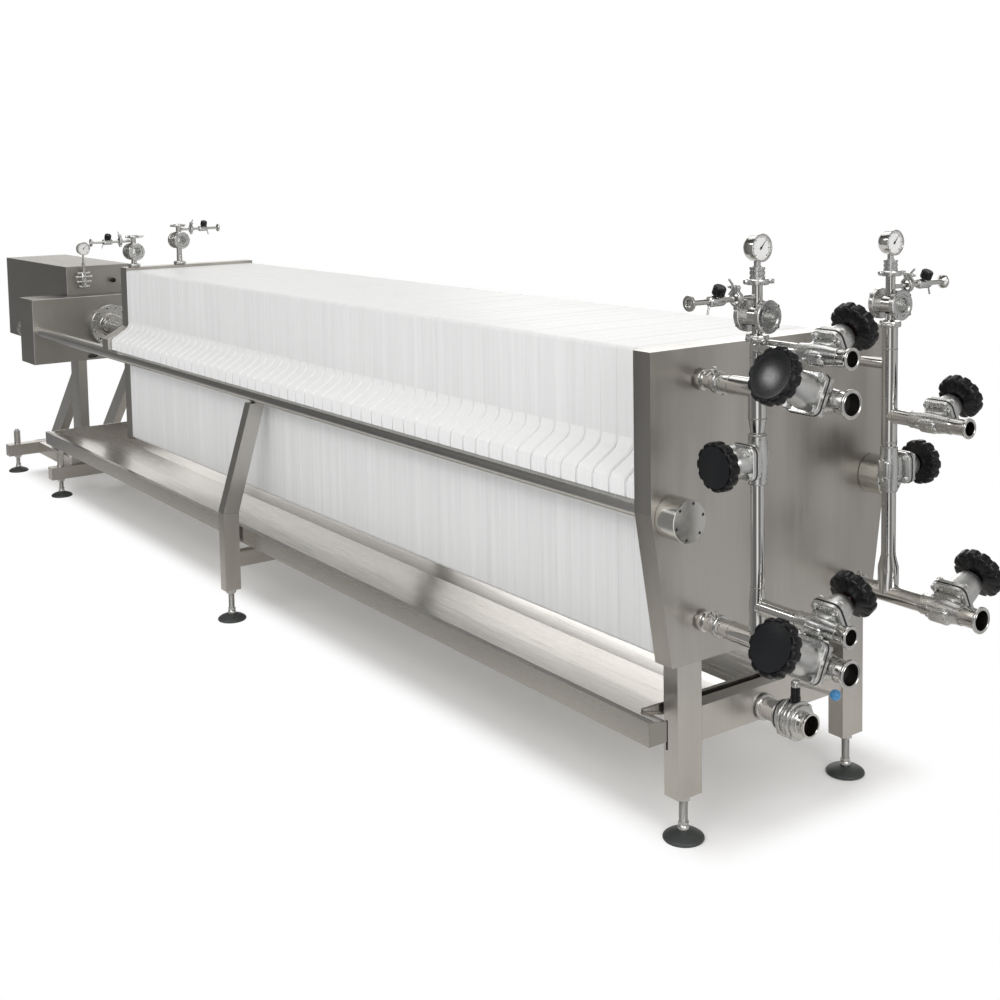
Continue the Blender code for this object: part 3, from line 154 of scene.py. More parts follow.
# Black rubber for the valve diaphragms, and also the black discs and strip that stand as painted shade in bores, screw
# sockets and a gap.
GASKET_AND_PAINTED_SHADE = surface("gasket_rubber_and_painted_shade", (0.012, 0.012, 0.012), 0.55, 0, (300, 300, 300), 0.2, 0.08, 0.1)
GLASS = surface("sight_glass", (0.90, 0.92, 0.91), 0.05, 0, (20, 20, 20), 0.02, 0.02, 0.01, transmission=0.9)
DIAL = surface("dial_enamel", (0.80, 0.80, 0.79), 0.35, 0, (60, 60, 60), 0.01, 0.04, 0.01, coat=0.6)
INK = surface("dial_ink", (0.01, 0.01, 0.01), 0.5, 0, (60, 60, 60), 0.05, 0.04, 0.01)
HOSE_RUBBER = surface("hose_rubber", (0.018, 0.018, 0.018), 0.42, 0, (500, 500, 500), 0.2, 0.06, 0.2)


# Mesh helpers

def facing(place, direction, spin=0.0):
    """The placement that puts local Z along a direction, turned about it by spin."""
    turn = Vector(direction).to_track_quat("Z", "Y").to_matrix().to_4x4()
    return Matrix.Translation(Vector(place)) @ turn @ Matrix.Rotation(spin, 4, "Z")


def softened(profile, edge):
    """Cuts the sharp corners of a (height, radius) profile into small chamfers."""
    if edge <= 0:
        return profile
    points = [Vector(p) for p in profile]
    made = [points[0]]
    for before, corner, after in zip(points, points[1:], points[2:]):
        back = before - corner
        ahead = after - corner
        if back.length < 1e-7 or ahead.length < 1e-7 or abs(back.angle(ahead) - math.pi) < 0.35:
            made.append(corner)
            continue
        step = min(edge, back.length * 0.4, ahead.length * 0.4)
        made.append(corner + back.normalized() * step)
        made.append(corner + ahead.normalized() * step)
    made.append(points[-1])
    return [(p.x, max(p.y, 0.0)) for p in made]


def arc(centre, radius, start, end, steps=6):
    """Points on an arc, as pairs, from one angle to another in degrees."""
    made = []
    for i in range(steps + 1):
        angle = math.radians(start + (end - start) * i / steps)
        made.append((centre[0] + radius * math.cos(angle), centre[1] + radius * math.sin(angle)))
    return made


class Form:
    """One visible piece: solids of several materials gathered in one mesh."""

    def __init__(self, name):
        self.name = name
        self.bm = bmesh.new()
        self.surfaces = []

    def index(self, material):
        if material not in self.surfaces:
            self.surfaces.append(material)
        return self.surfaces.index(material)

    def place_all(self, verts, faces, matrix, material):
        slot = self.index(material)
        for vert in verts:
            vert.co = matrix @ vert.co
        for face in faces:
            face.material_index = slot

    def lathe(self, profile, place, direction, material, segments=48, edge=0.0008, lobe=None, spin=0.0):
        """A (height, radius) profile turned about a direction; lobe(angle, radius) may shape its rim."""
        rings = []
        verts = []
        for height, radius in softened(profile, edge):
            if radius < 1e-6:
                rings.append([self.bm.verts.new((0, 0, height))])
            else:
                ring = []
                for i in range(segments):
                    angle = 2 * math.pi * i / segments
                    reach = lobe(angle, radius) if lobe else radius
                    ring.append(self.bm.verts.new((reach * math.cos(angle), reach * math.sin(angle), height)))
                rings.append(ring)
            verts += rings[-1]
        faces = []
        for low, high in zip(rings, rings[1:]):
            for i in range(segments):
                j = (i + 1) % segments
                corners = [low[i % len(low)], low[j % len(low)], high[j % len(high)], high[i % len(high)]]
                distinct = list(dict.fromkeys(corners))
                if len(distinct) > 2:
                    faces.append(self.bm.faces.new(distinct))
        self.place_all(verts, faces, facing(place, direction, spin), material)

    def rod(self, start, end, radius, material, segments=24, edge=0.0008):
        reach = Vector(end) - Vector(start)
        profile = [(0, 0), (0, radius), (reach.length, radius), (reach.length, 0)]
        self.lathe(profile, start, reach, material, segments, edge)

    def block(self, low, high, material, edge=0.0015, matrix=None, segments=2):
        """A box with rounded edges."""
        made = bmesh.ops.create_cube(self.bm, size=1.0)["verts"]
        size = [b - a for a, b in zip(low, high)]
        centre = [(a + b) / 2 for a, b in zip(low, high)]
        bmesh.ops.scale(self.bm, vec=size, verts=made)
        bmesh.ops.translate(self.bm, vec=centre, verts=made)
        edges = list({e for v in made for e in v.link_edges})
        grown = bmesh.ops.bevel(self.bm, geom=edges, offset=min(edge, min(size) * 0.45), segments=segments,
                                profile=0.5, affect="EDGES")
        verts = list({v for f in grown["faces"] for v in f.verts})
        faces = list({f for v in verts for f in v.link_faces})
        self.place_all(verts, faces, matrix or Matrix.Identity(4), material)

    def prism(self, outline, start, end, material, axis="X", edge=0.0, matrix=None):
        """A flat outline drawn out along X, Y or Z, with its two rims chamfered."""
        def point(a, b, level):
            if axis == "X":
                return (level, a, b)
            if axis == "Y":
                return (a, level, b)
            return (a, b, level)
        inner = inset(outline, edge) if edge > 0 else outline
        if edge > 0:
            levels = [(start, inner), (start + edge, outline), (end - edge, outline), (end, inner)]
        else:
            levels = [(start, outline), (end, outline)]
        rings = [[self.bm.verts.new(point(a, b, level)) for a, b in shape] for level, shape in levels]
        faces = [self.bm.faces.new(rings[0]), self.bm.faces.new(list(reversed(rings[-1])))]
        count = len(outline)
        for low, high in zip(rings, rings[1:]):
            for i in range(count):
                j = (i + 1) % count
                faces.append(self.bm.faces.new((low[i], high[i], high[j], low[j])))
        self.place_all([v for r in rings for v in r], faces, matrix or Matrix.Identity(4), material)

    def tube(self, points, radius, material, segments=14):
        """A round tube along points."""
        points = [Vector(p) for p in points]
        side = None
        rings = []
        for i, p in enumerate(points):
            ahead = points[min(i + 1, len(points) - 1)] - points[max(i - 1, 0)]
            ahead.normalize()
            if side is None:
                side = ahead.orthogonal().normalized()
            side = (side - ahead * side.dot(ahead)).normalized()
            across = ahead.cross(side)
            ring = []
            for k in range(segments):
                angle = 2 * math.pi * k / segments
                ring.append(self.bm.verts.new(p + (side * math.cos(angle) + across * math.sin(angle)) * radius))
            rings.append(ring)
        faces = []
        for low, high in zip(rings, rings[1:]):
            for i in range(segments):
                j = (i + 1) % segments
                faces.append(self.bm.faces.new((low[i], low[j], high[j], high[i])))
        faces.append(self.bm.faces.new(list(reversed(rings[0]))))
        faces.append(self.bm.faces.new(rings[-1]))
        self.place_all([], faces, Matrix.Identity(4), material)

    def bolt(self, place, direction, size, material=BOLT_STEEL, washer=True, spin=0.3):
        """A hexagon head on a washer; size is the thread's radius."""
        level = 0.0
        if washer:
            self.lathe([(0, 0), (0, size * 2.1), (size * 0.35, size * 2.1), (size * 0.35, 0)], place, direction,
                       material, 20, size * 0.08)
            level = size * 0.35
        top = level + size * 1.3
        profile = [(level, 0), (level, size * 1.85), (top - size * 0.25, size * 1.85), (top, size * 1.5), (top, 0)]
        self.lathe(profile, place, direction, material, 6, 0, None, spin)

    def cap_screw(self, place, direction, radius, height):
        """A round head with a socket in it; the socket's floor is a black disc, painted shade."""
        rim = radius * 0.56
        floor = height * 0.35
        self.lathe([(0, 0), (0, radius), (height, radius), (height, rim), (floor, rim * 0.96)], place, direction,
                   BOLT_STEEL, 20, radius * 0.12)
        self.lathe([(floor, rim), (floor + 0.0002, 0)], place, direction, GASKET_AND_PAINTED_SHADE, 6, 0)

    def ring(self, place, direction, radius, thickness, material=WELD_STEEL, segments=40):
        """A bead round a pipe, such as a weld."""
        section = [(thickness * math.sin(a) * 1.3, radius + thickness * max(0.0, math.cos(a)))
                   for a in [math.radians(d) for d in (-90, -45, 0, 45, 90)]]
        self.lathe(section, place, direction, material, segments, 0)

    def clamp(self, place, direction, radius, toward, width=0.014, nut=True):
        """A pipe clamp: a grooved band with its hinge, and a wing nut on the side that toward points to."""
        place = Vector(place)
        direction = Vector(direction).normalized()
        half = width / 2
        band = [(-half, radius * 0.7), (-half, radius * 0.96), (-half * 0.6, radius), (half * 0.6, radius),
                (half, radius * 0.96), (half, radius * 0.7)]
        self.lathe(band, place, direction, CAST_STEEL, 48, 0.0008)
        toward = Vector(toward).normalized()
        side = direction.cross(toward).normalized()
        basis = Matrix((side, toward, direction)).transposed().to_4x4()
        turn = Matrix.Translation(place) @ basis
        self.block((-0.006, -radius - 0.007, -half * 0.8), (0.006, -radius + 0.004, half * 0.8), CAST_STEEL, 0.002,
                   turn)
        for flip in (-1, 1):
            low, high = sorted((flip * 0.003, flip * 0.0085))
            self.block((low, radius - 0.004, -half * 0.8), (high, radius + 0.013, half * 0.8), CAST_STEEL, 0.0015, turn)
        start = turn @ Vector((-0.013, radius + 0.007, 0))
        end = turn @ Vector((0.026, radius + 0.007, 0))
        self.rod(start, end, 0.0028, BOLT_STEEL, 12)
        if nut:
            hub = turn @ Vector((0.0085, radius + 0.007, 0))
            self.lathe([(0, 0), (0, 0.006), (0.010, 0.0045), (0.010, 0)], hub, side, CAST_STEEL, 16, 0.001)
            wing = [(0.002, 0.003), (0.006, 0.004), (0.015, 0.013), (0.018, 0.013), (0.019, 0.010), (0.010, 0.001),
                    (0.008, -0.002), (0.002, -0.003)]
            spread = Matrix((toward, side, direction)).transposed().to_4x4()
            for flip in (1, -1):
                outline = [(a * flip, b + 0.003) for a, b in wing]
                if flip < 0:
                    outline.reverse()
                self.prism(outline, -0.0016, 0.0016, CAST_STEEL, "Z", 0.0006, Matrix.Translation(hub) @ spread)

    def wheel(self, place, direction, radius, height=0.040):
        """A moulded handwheel with twelve square finger grips round its rim and a smooth domed front disc."""
        def lobes(angle, reach):
            if reach < radius * 0.87:
                return reach
            return reach * (1 - 0.075 * (0.5 - 0.5 * math.tanh(3.5 * math.cos(12 * angle) + 1.6)))
        profile = [(0.006, 0.0065), (0.0, 0.010), (0.0, 0.026), (0.004, 0.034), (0.008, radius * 0.90),
                   (0.011, radius * 0.97), (0.015, radius), (height - 0.010, radius), (height - 0.006, radius * 0.985),
                   (height - 0.003, radius * 0.94), (height - 0.003, radius * 0.865), (height - 0.0055, radius * 0.85)]
        self.lathe(profile, place, direction, BLACK_PLASTIC, 192, 0.0005, lobes)
        dome = [(height - 0.0055, radius * 0.85), (height - 0.0025, radius * 0.835)]
        dome += [(height - 0.0025 * (r / 0.8) ** 2, radius * r) for r in (0.75, 0.62, 0.48, 0.34, 0.2)]
        self.lathe(dome + [(height, 0.0)], place, direction, BLACK_DISC, 64, 0)

    def finish(self, body, stands_for=(), angle=32):
        """Closes the form into an object that rides on a body."""
        bmesh.ops.remove_doubles(self.bm, verts=self.bm.verts, dist=1e-7)
        bmesh.ops.recalc_face_normals(self.bm, faces=self.bm.faces)
        bmesh.ops.translate(self.bm, vec=(SHIFT, 0, 0), verts=self.bm.verts)
        mesh = bpy.data.meshes.new(self.name)
        self.bm.to_mesh(mesh)
        self.bm.free()
        for material in self.surfaces:
            mesh.materials.append(material)
        mesh.shade_smooth()
        mesh.set_sharp_from_angle(angle=math.radians(angle))
        made = bpy.data.objects.new(self.name, mesh)
        bpy.context.scene.collection.objects.link(made)
        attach(made, body)
        if stands_for:
            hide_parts(*stands_for)
        return made


def inset(outline, edge):
    """The outline moved inward by edge, for a chamfered rim."""
    count = len(outline)
    area = sum(outline[i][0] * outline[(i + 1) % count][1] - outline[(i + 1) % count][0] * outline[i][1]
               for i in range(count))
    turn = 1 if area > 0 else -1
    made = []
    for i in range(count):
        before = Vector(outline[i - 1])
        here = Vector(outline[i])
        after = Vector(outline[(i + 1) % count])
        first = (here - before).normalized()
        second = (after - here).normalized()
        normal_first = Vector((-first.y, first.x)) * turn
        normal_second = Vector((-second.y, second.x)) * turn
        bisector = normal_first + normal_second
        if bisector.length < 1e-6:
            bisector = normal_first
        bisector.normalize()
        scale = max(0.5, bisector.dot(normal_first))
        made.append(tuple(here + bisector * edge / scale))
    return made


def dress(node, material, edge=0.002, segments=2):
    """A CAD node that stays: its material, its finest edges rounded."""
    made = nodes[node]
    made.data.materials.clear()
    made.data.materials.append(material)
    if edge > 0:
        bevel = made.modifiers.new("edges", "BEVEL")
        bevel.width = edge
        bevel.segments = segments
        bevel.limit_method = "ANGLE"
        bevel.angle_limit = math.radians(40)
        bevel.harden_normals = True


# Plates

PLATES = 56
PLATE_PITCH = 0.0646
PLATE_HALF = 0.3124
PLATE_TOP = 1.213
PLATE_BOTTOM = 0.4424
LUG_SEAT = 0.8578
LUG_REACH = 0.083
LUG_SHOULDER = 0.958
PACK_FRONT = -0.0603
LUG_SIDE_GAP = 0.0016


def plate_body():
    """The plate as (Y, Z): its corners rounded."""
    r = 0.012
    h = PLATE_HALF
    points = arc((h - r, PLATE_BOTTOM + r), r, -90, 0, 4)
    points += arc((h - r, PLATE_TOP - r), r, 0, 90, 4)
    points += arc((-h + r, PLATE_TOP - r), r, 90, 180, 4)
    points += arc((-h + r, PLATE_BOTTOM + r), r, 180, 270, 4)
    return points


def plate_lug(side):
    """The lug as (Y, Z): it flows out of the plate's side in a hollow curve, slopes down and ends upright."""
    reach = PLATE_HALF + LUG_REACH
    end_top = LUG_SHOULDER - 0.053
    slope = math.degrees(math.atan2(0.053, LUG_REACH))
    hollow = 0.045
    turn = math.radians(90 - slope) / 2
    run = hollow * math.tan(turn)
    start = LUG_SHOULDER + run
    points = [(PLATE_HALF - 0.01, LUG_SEAT), (PLATE_HALF - 0.01, start)]
    points += arc((PLATE_HALF + hollow, start), hollow, 180, 270 - slope, 8)
    points += arc((reach - 0.014, end_top - 0.006), 0.014, 90 - slope, 0, 6)
    points += [(reach, LUG_SEAT + 0.003), (reach - 0.003, LUG_SEAT)]
    return [(side * y, z) for y, z in points]


def plates(name, node, first, count):
    form = Form(name)
    body = plate_body()
    chance = random.Random(first + 7)
    for i in range(first, first + count):
        front = PACK_FRONT - i * PLATE_PITCH
        back = front - PLATE_PITCH + 0.0004
        jitter = chance.uniform(-0.0006, 0.0006)
        form.prism([(y, z + jitter * 0.5) for y, z in body], back, front, WHITE_PLASTIC, "X", 0.0012)
        for side in (-1, 1):
            lug = plate_lug(side)
            form.prism(lug, back + LUG_SIDE_GAP, front - LUG_SIDE_GAP, LUG_PLASTIC, "X", 0.0042)
            reach = side * (PLATE_HALF + LUG_REACH)
            for step in (-2, -1, 0, 1, 2):
                x = (front + back) / 2 + step * 0.0118 + jitter
                low, high = sorted((reach - side * 0.004, reach + side * 0.0006))
                form.block((x - 0.0048, low, LUG_SEAT + 0.001), (x + 0.0048, high, 0.897), LUG_PLASTIC, 0.0008)
    form.finish("press", [node])


plates("plates_front", "plate_pack_front", 0, PLATES // 2)
plates("plates_rear", "plate_pack_rear", PLATES // 2, PLATES - PLATES // 2)


# Heads, rods and yoke

ROD_Y = 0.362
ROD_HEIGHT = 0.83
ROD_RADIUS = 0.0275
YOKE_REAR = -5.04

dress("fixed_head", HEAD_STEEL, 0.003)
dress("moving_head", HEAD_STEEL, 0.003)
dress("yoke", DARK_STEEL, 0.003)

for side, label in ((-1, "left"), (1, "right")):
    form = Form(f"rod_{label}")
    place = Vector((0, side * ROD_Y, ROD_HEIGHT))
    length = -YOKE_REAR + 0.0003
    form.lathe([(0, 0), (0, ROD_RADIUS), (length, ROD_RADIUS)], place, -X_AXIS, ROD_STEEL, 64)
    end = place - X_AXIS * length
    form.lathe([(0, ROD_RADIUS), (0, 0.045), (0.045, 0.045), (0.045, 0.020), (0.043, 0.018), (0.043, 0)], end, -X_AXIS,
               ROD_STEEL, 64, 0.0015)
    # Four black discs on the rod end's face: painted shade standing in for four holes.
    for k in range(4):
        angle = math.pi / 4 + k * math.pi / 2
        spot = end - X_AXIS * 0.045 + Vector((0, math.cos(angle), math.sin(angle))) * 0.033
        form.lathe([(0, 0.005), (0.0006, 0.005), (0.0006, 0)], spot + X_AXIS * 0.0004, -X_AXIS, GASKET_AND_PAINTED_SHADE, 16, 0)
    form.finish("press", [f"tie_rod_{label}"])

    form = Form(f"cap_{label}")
    form.lathe([(0.0003, 0), (0.0003, 0.0525), (0.065, 0.0525), (0.065, 0)], place, X_AXIS, ROD_STEEL, 96, 0.0015)
    # Six black discs on the cap's face: painted shade standing in for the sockets of six cap screws.
    for k in range(6):
        angle = math.radians(15 + k * 60)
        spot = place + X_AXIS * 0.0649 + Vector((0, math.cos(angle), math.sin(angle))) * 0.044
        form.lathe([(0, 0.0040), (0.0003, 0.0038), (0.0003, 0)], spot, X_AXIS, GASKET_AND_PAINTED_SHADE, 20, 0)
    form.finish("press", [f"rod_cap_{label}"])

YOKE_FRONT = -4.82
MOVING_REAR = PACK_FRONT - PLATES * PLATE_PITCH - 0.0003 - 0.07
ROD_INTO_CYLINDER = 0.08
PISTON_LENGTH = MOVING_REAR - YOKE_FRONT + ROD_INTO_CYLINDER
form = Form("piston")
disc = 0.0303
form.lathe([(0.0003, 0), (0.0003, 0.095), (disc, 0.095), (disc, 0.062), (disc + 0.012, 0.050),
            (PISTON_LENGTH, 0.050), (PISTON_LENGTH, 0)], (MOVING_REAR, 0, 0.842), -X_AXIS, BRIGHT_STEEL, 72, 0.0015)
for k in range(8):
    angle = math.radians(22.5 + k * 45)
    spot = Vector((MOVING_REAR - disc, math.cos(angle) * 0.078, 0.842 + math.sin(angle) * 0.078))
    form.cap_screw(spot, -X_AXIS, 0.007, 0.008)
form.finish("moving_head", ["piston_rod"])

form = Form("cylinder")
start = Vector((YOKE_FRONT, 0, 0.842))
form.lathe([(-0.0503, 0.0515), (-0.0503, 0.110), (-0.0003, 0.110), (-0.0003, 0.0925), (0.980, 0.0925), (0.980, 0.03),
            (0.985, 0.028), (0.985, 0)], start, -X_AXIS, CAST_STEEL, 72, 0.002)
form.lathe([(-0.052, 0.0505), (-0.052, 0.062), (-0.0500, 0.064)], start, -X_AXIS, BRIGHT_STEEL, 48, 0.0006)
form.lathe([(-0.0505, 0.0507), (-0.02, 0.0507)], start, -X_AXIS, GASKET_AND_PAINTED_SHADE, 48, 0)
for k in range(12):
    angle = math.radians(15 + k * 30)
    spot = start + X_AXIS * 0.0503 + Vector((0, math.cos(angle), math.sin(angle))) * 0.094
    form.cap_screw(spot, X_AXIS, 0.008, 0.009)
hose = start + Vector((0.025, -0.075, -0.085))
form.rod(start + Vector((0.025, -0.045, -0.085)), start + Vector((0.025, -0.060, -0.125)), 0.012, BOLT_STEEL, 6)
form.tube([start + Vector((0.025, -0.058, -0.12)), start + Vector((0.025, -0.066, -0.145)),
           start + Vector((0.018, -0.085, -0.160)), start + Vector((0.0, -0.105, -0.163)),
           start + Vector((-0.004, -0.11, -0.163))], 0.010, HOSE_RUBBER)
form.finish("press", ["hydraulic_cylinder"])


# Hydraulic enclosure and its controls

dress("hydraulic_enclosure", DARK_STEEL, 0.004)

ENCLOSURE_FRONT = -4.94
# Thin lighter rods along front edges of the enclosure and the yoke: painted highlights on those edges.
form = Form("edge_highlights")
for side in (-1, 1):
    form.rod((ENCLOSURE_FRONT + 0.001, side * 0.1740, 1.004), (ENCLOSURE_FRONT + 0.001, side * 0.1740, 1.150), 0.0022,
             BOLT_STEEL, 12)
    form.rod((YOKE_FRONT, side * 0.3985, 0.663), (YOKE_FRONT, side * 0.3985, 0.997), 0.0022, BOLT_STEEL, 12)
form.rod((YOKE_FRONT, -0.397, 0.9985), (YOKE_FRONT, 0.397, 0.9985), 0.0022, BOLT_STEEL, 12)
form.finish("press", ())

form = Form("control")
x = -4.905
y = -0.0925
form.block((-4.9397, y - 0.012, 1.035), (-4.900, y + 0.012, 1.125), CAST_STEEL, 0.003)
for z, reach in ((1.046, 0.017), (1.072, 0.028), (1.098, 0.034), (1.118, 0.022)):
    for flip in (-1, 1):
        form.lathe([(0, 0), (0, 0.0055), (reach * 0.6, 0.0055), (reach * 0.6, 0.0080), (reach, 0.0080), (reach, 0)],
                   (x, y + flip * 0.011, z), Y_AXIS * flip, CAST_STEEL, 6, 0.0010)
    form.lathe([(0, 0), (0, 0.0070), (0.008, 0.0070), (0.009, 0.0045), (0.016, 0.0045), (0.016, 0)], (-4.90, y, z),
               X_AXIS, BRIGHT_STEEL, 6, 0.0008)
form.lathe([(1.12, 0), (1.12, 0.010), (1.142, 0.010), (1.142, 0.006), (1.160, 0.006), (1.160, 0.009), (1.175, 0.009),
            (1.175, 0.0045), (1.222, 0.0045), (1.222, 0)], (x, y, 0), Z_AXIS, CAST_STEEL, 24, 0.0008)
form.finish("press", ["hydraulic_control"])


def gauge(form, centre, face, radius, depth=0.034):
    """A pressure gauge: case, bezel, dial with its scale and a needle."""
    centre = Vector(centre)
    face = Vector(face).normalized()
    half = depth / 2
    form.lathe([(-half, 0), (-half, radius * 0.86), (-half * 0.6, radius * 0.96), (half * 0.5, radius * 0.96),
                (half * 0.5, radius), (half, radius), (half, radius * 0.88), (half * 0.72, radius * 0.87)],
               centre, face, BRIGHT_STEEL, 56, 0.0008)
    form.lathe([(half * 0.72, radius * 0.88), (half * 0.721, 0)], centre, face, DIAL, 48, 0)
    side = Z_AXIS.cross(face).normalized()
    basis = Matrix((side, Z_AXIS, face)).transposed().to_4x4()
    turn = Matrix.Translation(centre + face * half * 0.735) @ basis
    for k in range(31):
        angle = math.radians(225 - 270 * k / 30)
        long = k % 5 == 0
        inner = radius * (0.68 if long else 0.75)
        outer = radius * 0.82
        width = radius * (0.022 if long else 0.012)
        along = Vector((math.cos(angle), math.sin(angle)))
        across = Vector((-along.y, along.x)) * width
        corners = [along * inner - across, along * outer - across, along * outer + across, along * inner + across]
        form.prism([tuple(c) for c in corners], 0, 0.0002, INK, "Z", 0, turn)
    angle = math.radians(48)
    along = Vector((math.cos(angle), math.sin(angle)))
    across = Vector((-along.y, along.x))
    needle = [along * radius * 0.70, across * radius * 0.05 - along * radius * 0.16,
              -across * radius * 0.05 - along * radius * 0.16]
    form.prism([tuple(c) for c in needle], 0.0006, 0.0011, INK, "Z", 0, turn)
    form.lathe([(0, 0), (0, radius * 0.09), (0.0018, radius * 0.08), (0.0018, 0)], centre + face * half * 0.735, face,
               INK, 20, 0.0003)


form = Form("control_gauge")
gauge(form, (x, y, 1.25), X_AXIS, 0.035)
form.finish("press", ())

form = Form("knob")
form.lathe([(0.0003, 0), (0.0003, 0.008), (0.018, 0.008), (0.020, 0.0135), (0.038, 0.012), (0.040, 0.010), (0.040, 0)],
           (ENCLOSURE_FRONT, 0.07, 1.07), X_AXIS, BLACK_PLASTIC, 48, 0.001,
           lambda angle, radius: radius * (1 - 0.05 * (1 - math.cos(12 * angle)) / 2) if radius > 0.01 else radius)
form.finish("press", ["control_knob"])


# Stands, legs and base

for node in ("rear_stand_left", "rear_stand_right", "mid_leg_left", "mid_leg_right"):
    dress(node, FRAME_STEEL, 0.003)
dress("front_stand", FRAME_STEEL, 0.0025)
for node in ("base_cross_beam_front", "base_cross_beam_rear", "mid_cross_beam"):
    dress(node, BEAM_STEEL, 0.0025)
for node in ("base_long_beam_left", "base_long_beam_right"):
    dress(node, TRAY_STEEL, 0.0025)
for node in ("drip_tray_left", "drip_tray_right", "tray_end_front", "tray_end_rear"):
    dress(node, TRAY_STEEL, 0.0008, 1)

# The tray wing's end face is drawn in the darker steel as painted shade, and the black strip behind it is a painted
# shadow in the gap to the leg.
form = Form("tray_wing_end")
wing_end = [(-0.4455, 0.2850), (-0.4455, 0.3440), (-0.4290, 0.3440), (-0.3905, 0.3355), (-0.3905, 0.2850)]
form.prism(wing_end, 0.0085, 0.0112, DARK_STEEL, "X", 0.0006)
form.block((0.0060, -0.3902, 0.264), (0.0112, -0.3865, 0.3375), GASKET_AND_PAINTED_SHADE, 0.0008)
form.finish("press", ())


def weld(form, points, radius=0.0022):
    """A weld bead along points."""
    form.tube(points, radius, WELD_STEEL, 8)


form = Form("stand_welds")
for side in (-1, 1):
    inner = side * 0.26
    for z in (0.335, 0.248):
        weld(form, [(-0.006, inner, z), (-0.054, inner, z)])
    weld(form, [(-0.0075, inner, 0.250), (-0.0075, inner, 0.333)])
    low, high = side * 0.261, side * 0.339
    weld(form, [(-0.0045, low, 0.4547), (-0.0045, high, 0.4547)])
    weld(form, [(-0.0555, low, 0.4547), (-0.0555, high, 0.4547)])
    weld(form, [(-0.006, side * 0.3405, 0.4547), (-0.054, side * 0.3405, 0.4547)])
    bend = side * 0.513
    weld(form, [(-2.246, side * 0.454, 0.401), (-2.246, side * 0.512, 0.409)], 0.0016)
    weld(form, [(-2.246, bend, 0.409), (-2.290, bend, 0.409)], 0.0016)
    for x in (-4.643, -4.583, -5.386, -5.326):
        weld(form, [(x, side * 0.247, 0.155), (x, side * 0.127, 0.155)], 0.0016)
    for y in (0.125, 0.171):
        weld(form, [(-4.823, side * y, 0.1555), (-4.941, side * y, 0.1555)], 0.0018)
        weld(form, [(-4.823, side * y, 0.6595), (-4.941, side * y, 0.6595)], 0.0018)
form.finish("press", ())


def foot(name, node, x, y, top):
    """A levelling foot: its flat domed pad, bright collar, threaded spindle and nut."""
    form = Form(name)
    place = (x, y, 0)
    form.lathe([(0, 0), (0, 0.0500), (0.003, 0.0522), (0.006, 0.0522), (0.0095, 0.0500), (0.0150, 0.0420),
                (0.0195, 0.0310), (0.0225, 0.0200), (0.0235, 0.0150), (0.0235, 0)], place, Z_AXIS, FOOT_PLASTIC, 72,
               0.0006)
    form.lathe([(0.022, 0), (0.022, 0.0135), (0.027, 0.0150), (0.032, 0.0145), (0.037, 0.0120), (0.038, 0.010),
                (0.038, 0)], place, Z_AXIS, CAST_STEEL, 40, 0.0006)
    nut = top - 0.0143
    thread = [(0.036, 0.009)]
    level = 0.038
    while level < nut - 0.004:
        thread += [(level, 0.0098), (level + 0.001, 0.011), (level + 0.002, 0.0098)]
        level += 0.002
    thread += [(nut, 0.0105)]
    form.lathe(thread, place, Z_AXIS, BOLT_STEEL, 24, 0)
    form.lathe([(nut, 0), (nut, 0.0165), (nut + 0.0015, 0.0185), (top - 0.0018, 0.0185), (top - 0.0003, 0.0165),
                (top - 0.0003, 0)], place, Z_AXIS, BOLT_STEEL, 6, 0, None, 0.4)
    form.lathe([(0.038, 0), (0.038, 0.014), (0.045, 0.014), (0.045, 0)], place, Z_AXIS, BOLT_STEEL, 6, 0.0006)
    form.finish("press", [node])


for label, y_side in (("left", -1), ("right", 1)):
    foot(f"near_foot_{label}", f"foot_near_{label}", -0.030, y_side * 0.30, 0.115)
    foot(f"mid_foot_{label}", f"foot_mid_{label}", -2.268, y_side * 0.483, 0.115)
    foot(f"front_foot_{label}", f"foot_front_{label}", -4.613, y_side * 0.355, 0.093)
    foot(f"rear_foot_{label}", f"foot_rear_{label}", -5.356, y_side * 0.355, 0.093)

form = Form("spindles")
for x in (-4.613, -5.356):
    for side in (-1, 1):
        form.lathe([(0.2215, 0), (0.2215, 0.010), (0.236, 0.010), (0.238, 0.008), (0.238, 0)],
                   (x, side * 0.355, 0), Z_AXIS, BOLT_STEEL, 24, 0.0006)
        form.lathe([(0.222, 0), (0.222, 0.0165), (0.230, 0.0165), (0.230, 0)], (x, side * 0.355, 0), Z_AXIS,
                   BOLT_STEEL, 6, 0.0008)
form.finish("press", ())


# Drain valve

DRAIN_Y = -0.04
DRAIN_Z = 0.280
form = Form("drain")
place = Vector((0, DRAIN_Y, DRAIN_Z))
form.lathe([(-0.067, 0.0245), (-0.067, 0.028), (0.056, 0.028)], place, X_AXIS, BRIGHT_STEEL, 56)
form.lathe([(-0.004, 0.028), (-0.004, 0.034), (0.002, 0.034), (0.004, 0.031), (0.004, 0.028)], place, X_AXIS,
           CAST_STEEL, 56, 0.0008)
form.lathe([(0.052, 0.028), (0.052, 0.038), (0.060, 0.040), (0.060, 0.028)], place, X_AXIS, CAST_STEEL, 56, 0.001)
form.lathe([(0.0595, 0.0395), (0.0635, 0.0395)], place, X_AXIS, GASKET_AND_PAINTED_SHADE, 56, 0)
for low, high, reach in ((0.063, 0.075, 0.040), (0.0755, 0.0875, 0.050), (0.0905, 0.1025, 0.047),
                         (0.1045, 0.1160, 0.050), (0.1165, 0.1250, 0.043)):
    form.lathe([(low, 0.027), (low, reach - 0.002), (low + 0.002, reach), (high - 0.002, reach), (high, reach - 0.002),
                (high, 0.027)], place, X_AXIS, CAST_STEEL, 72, 0.001)
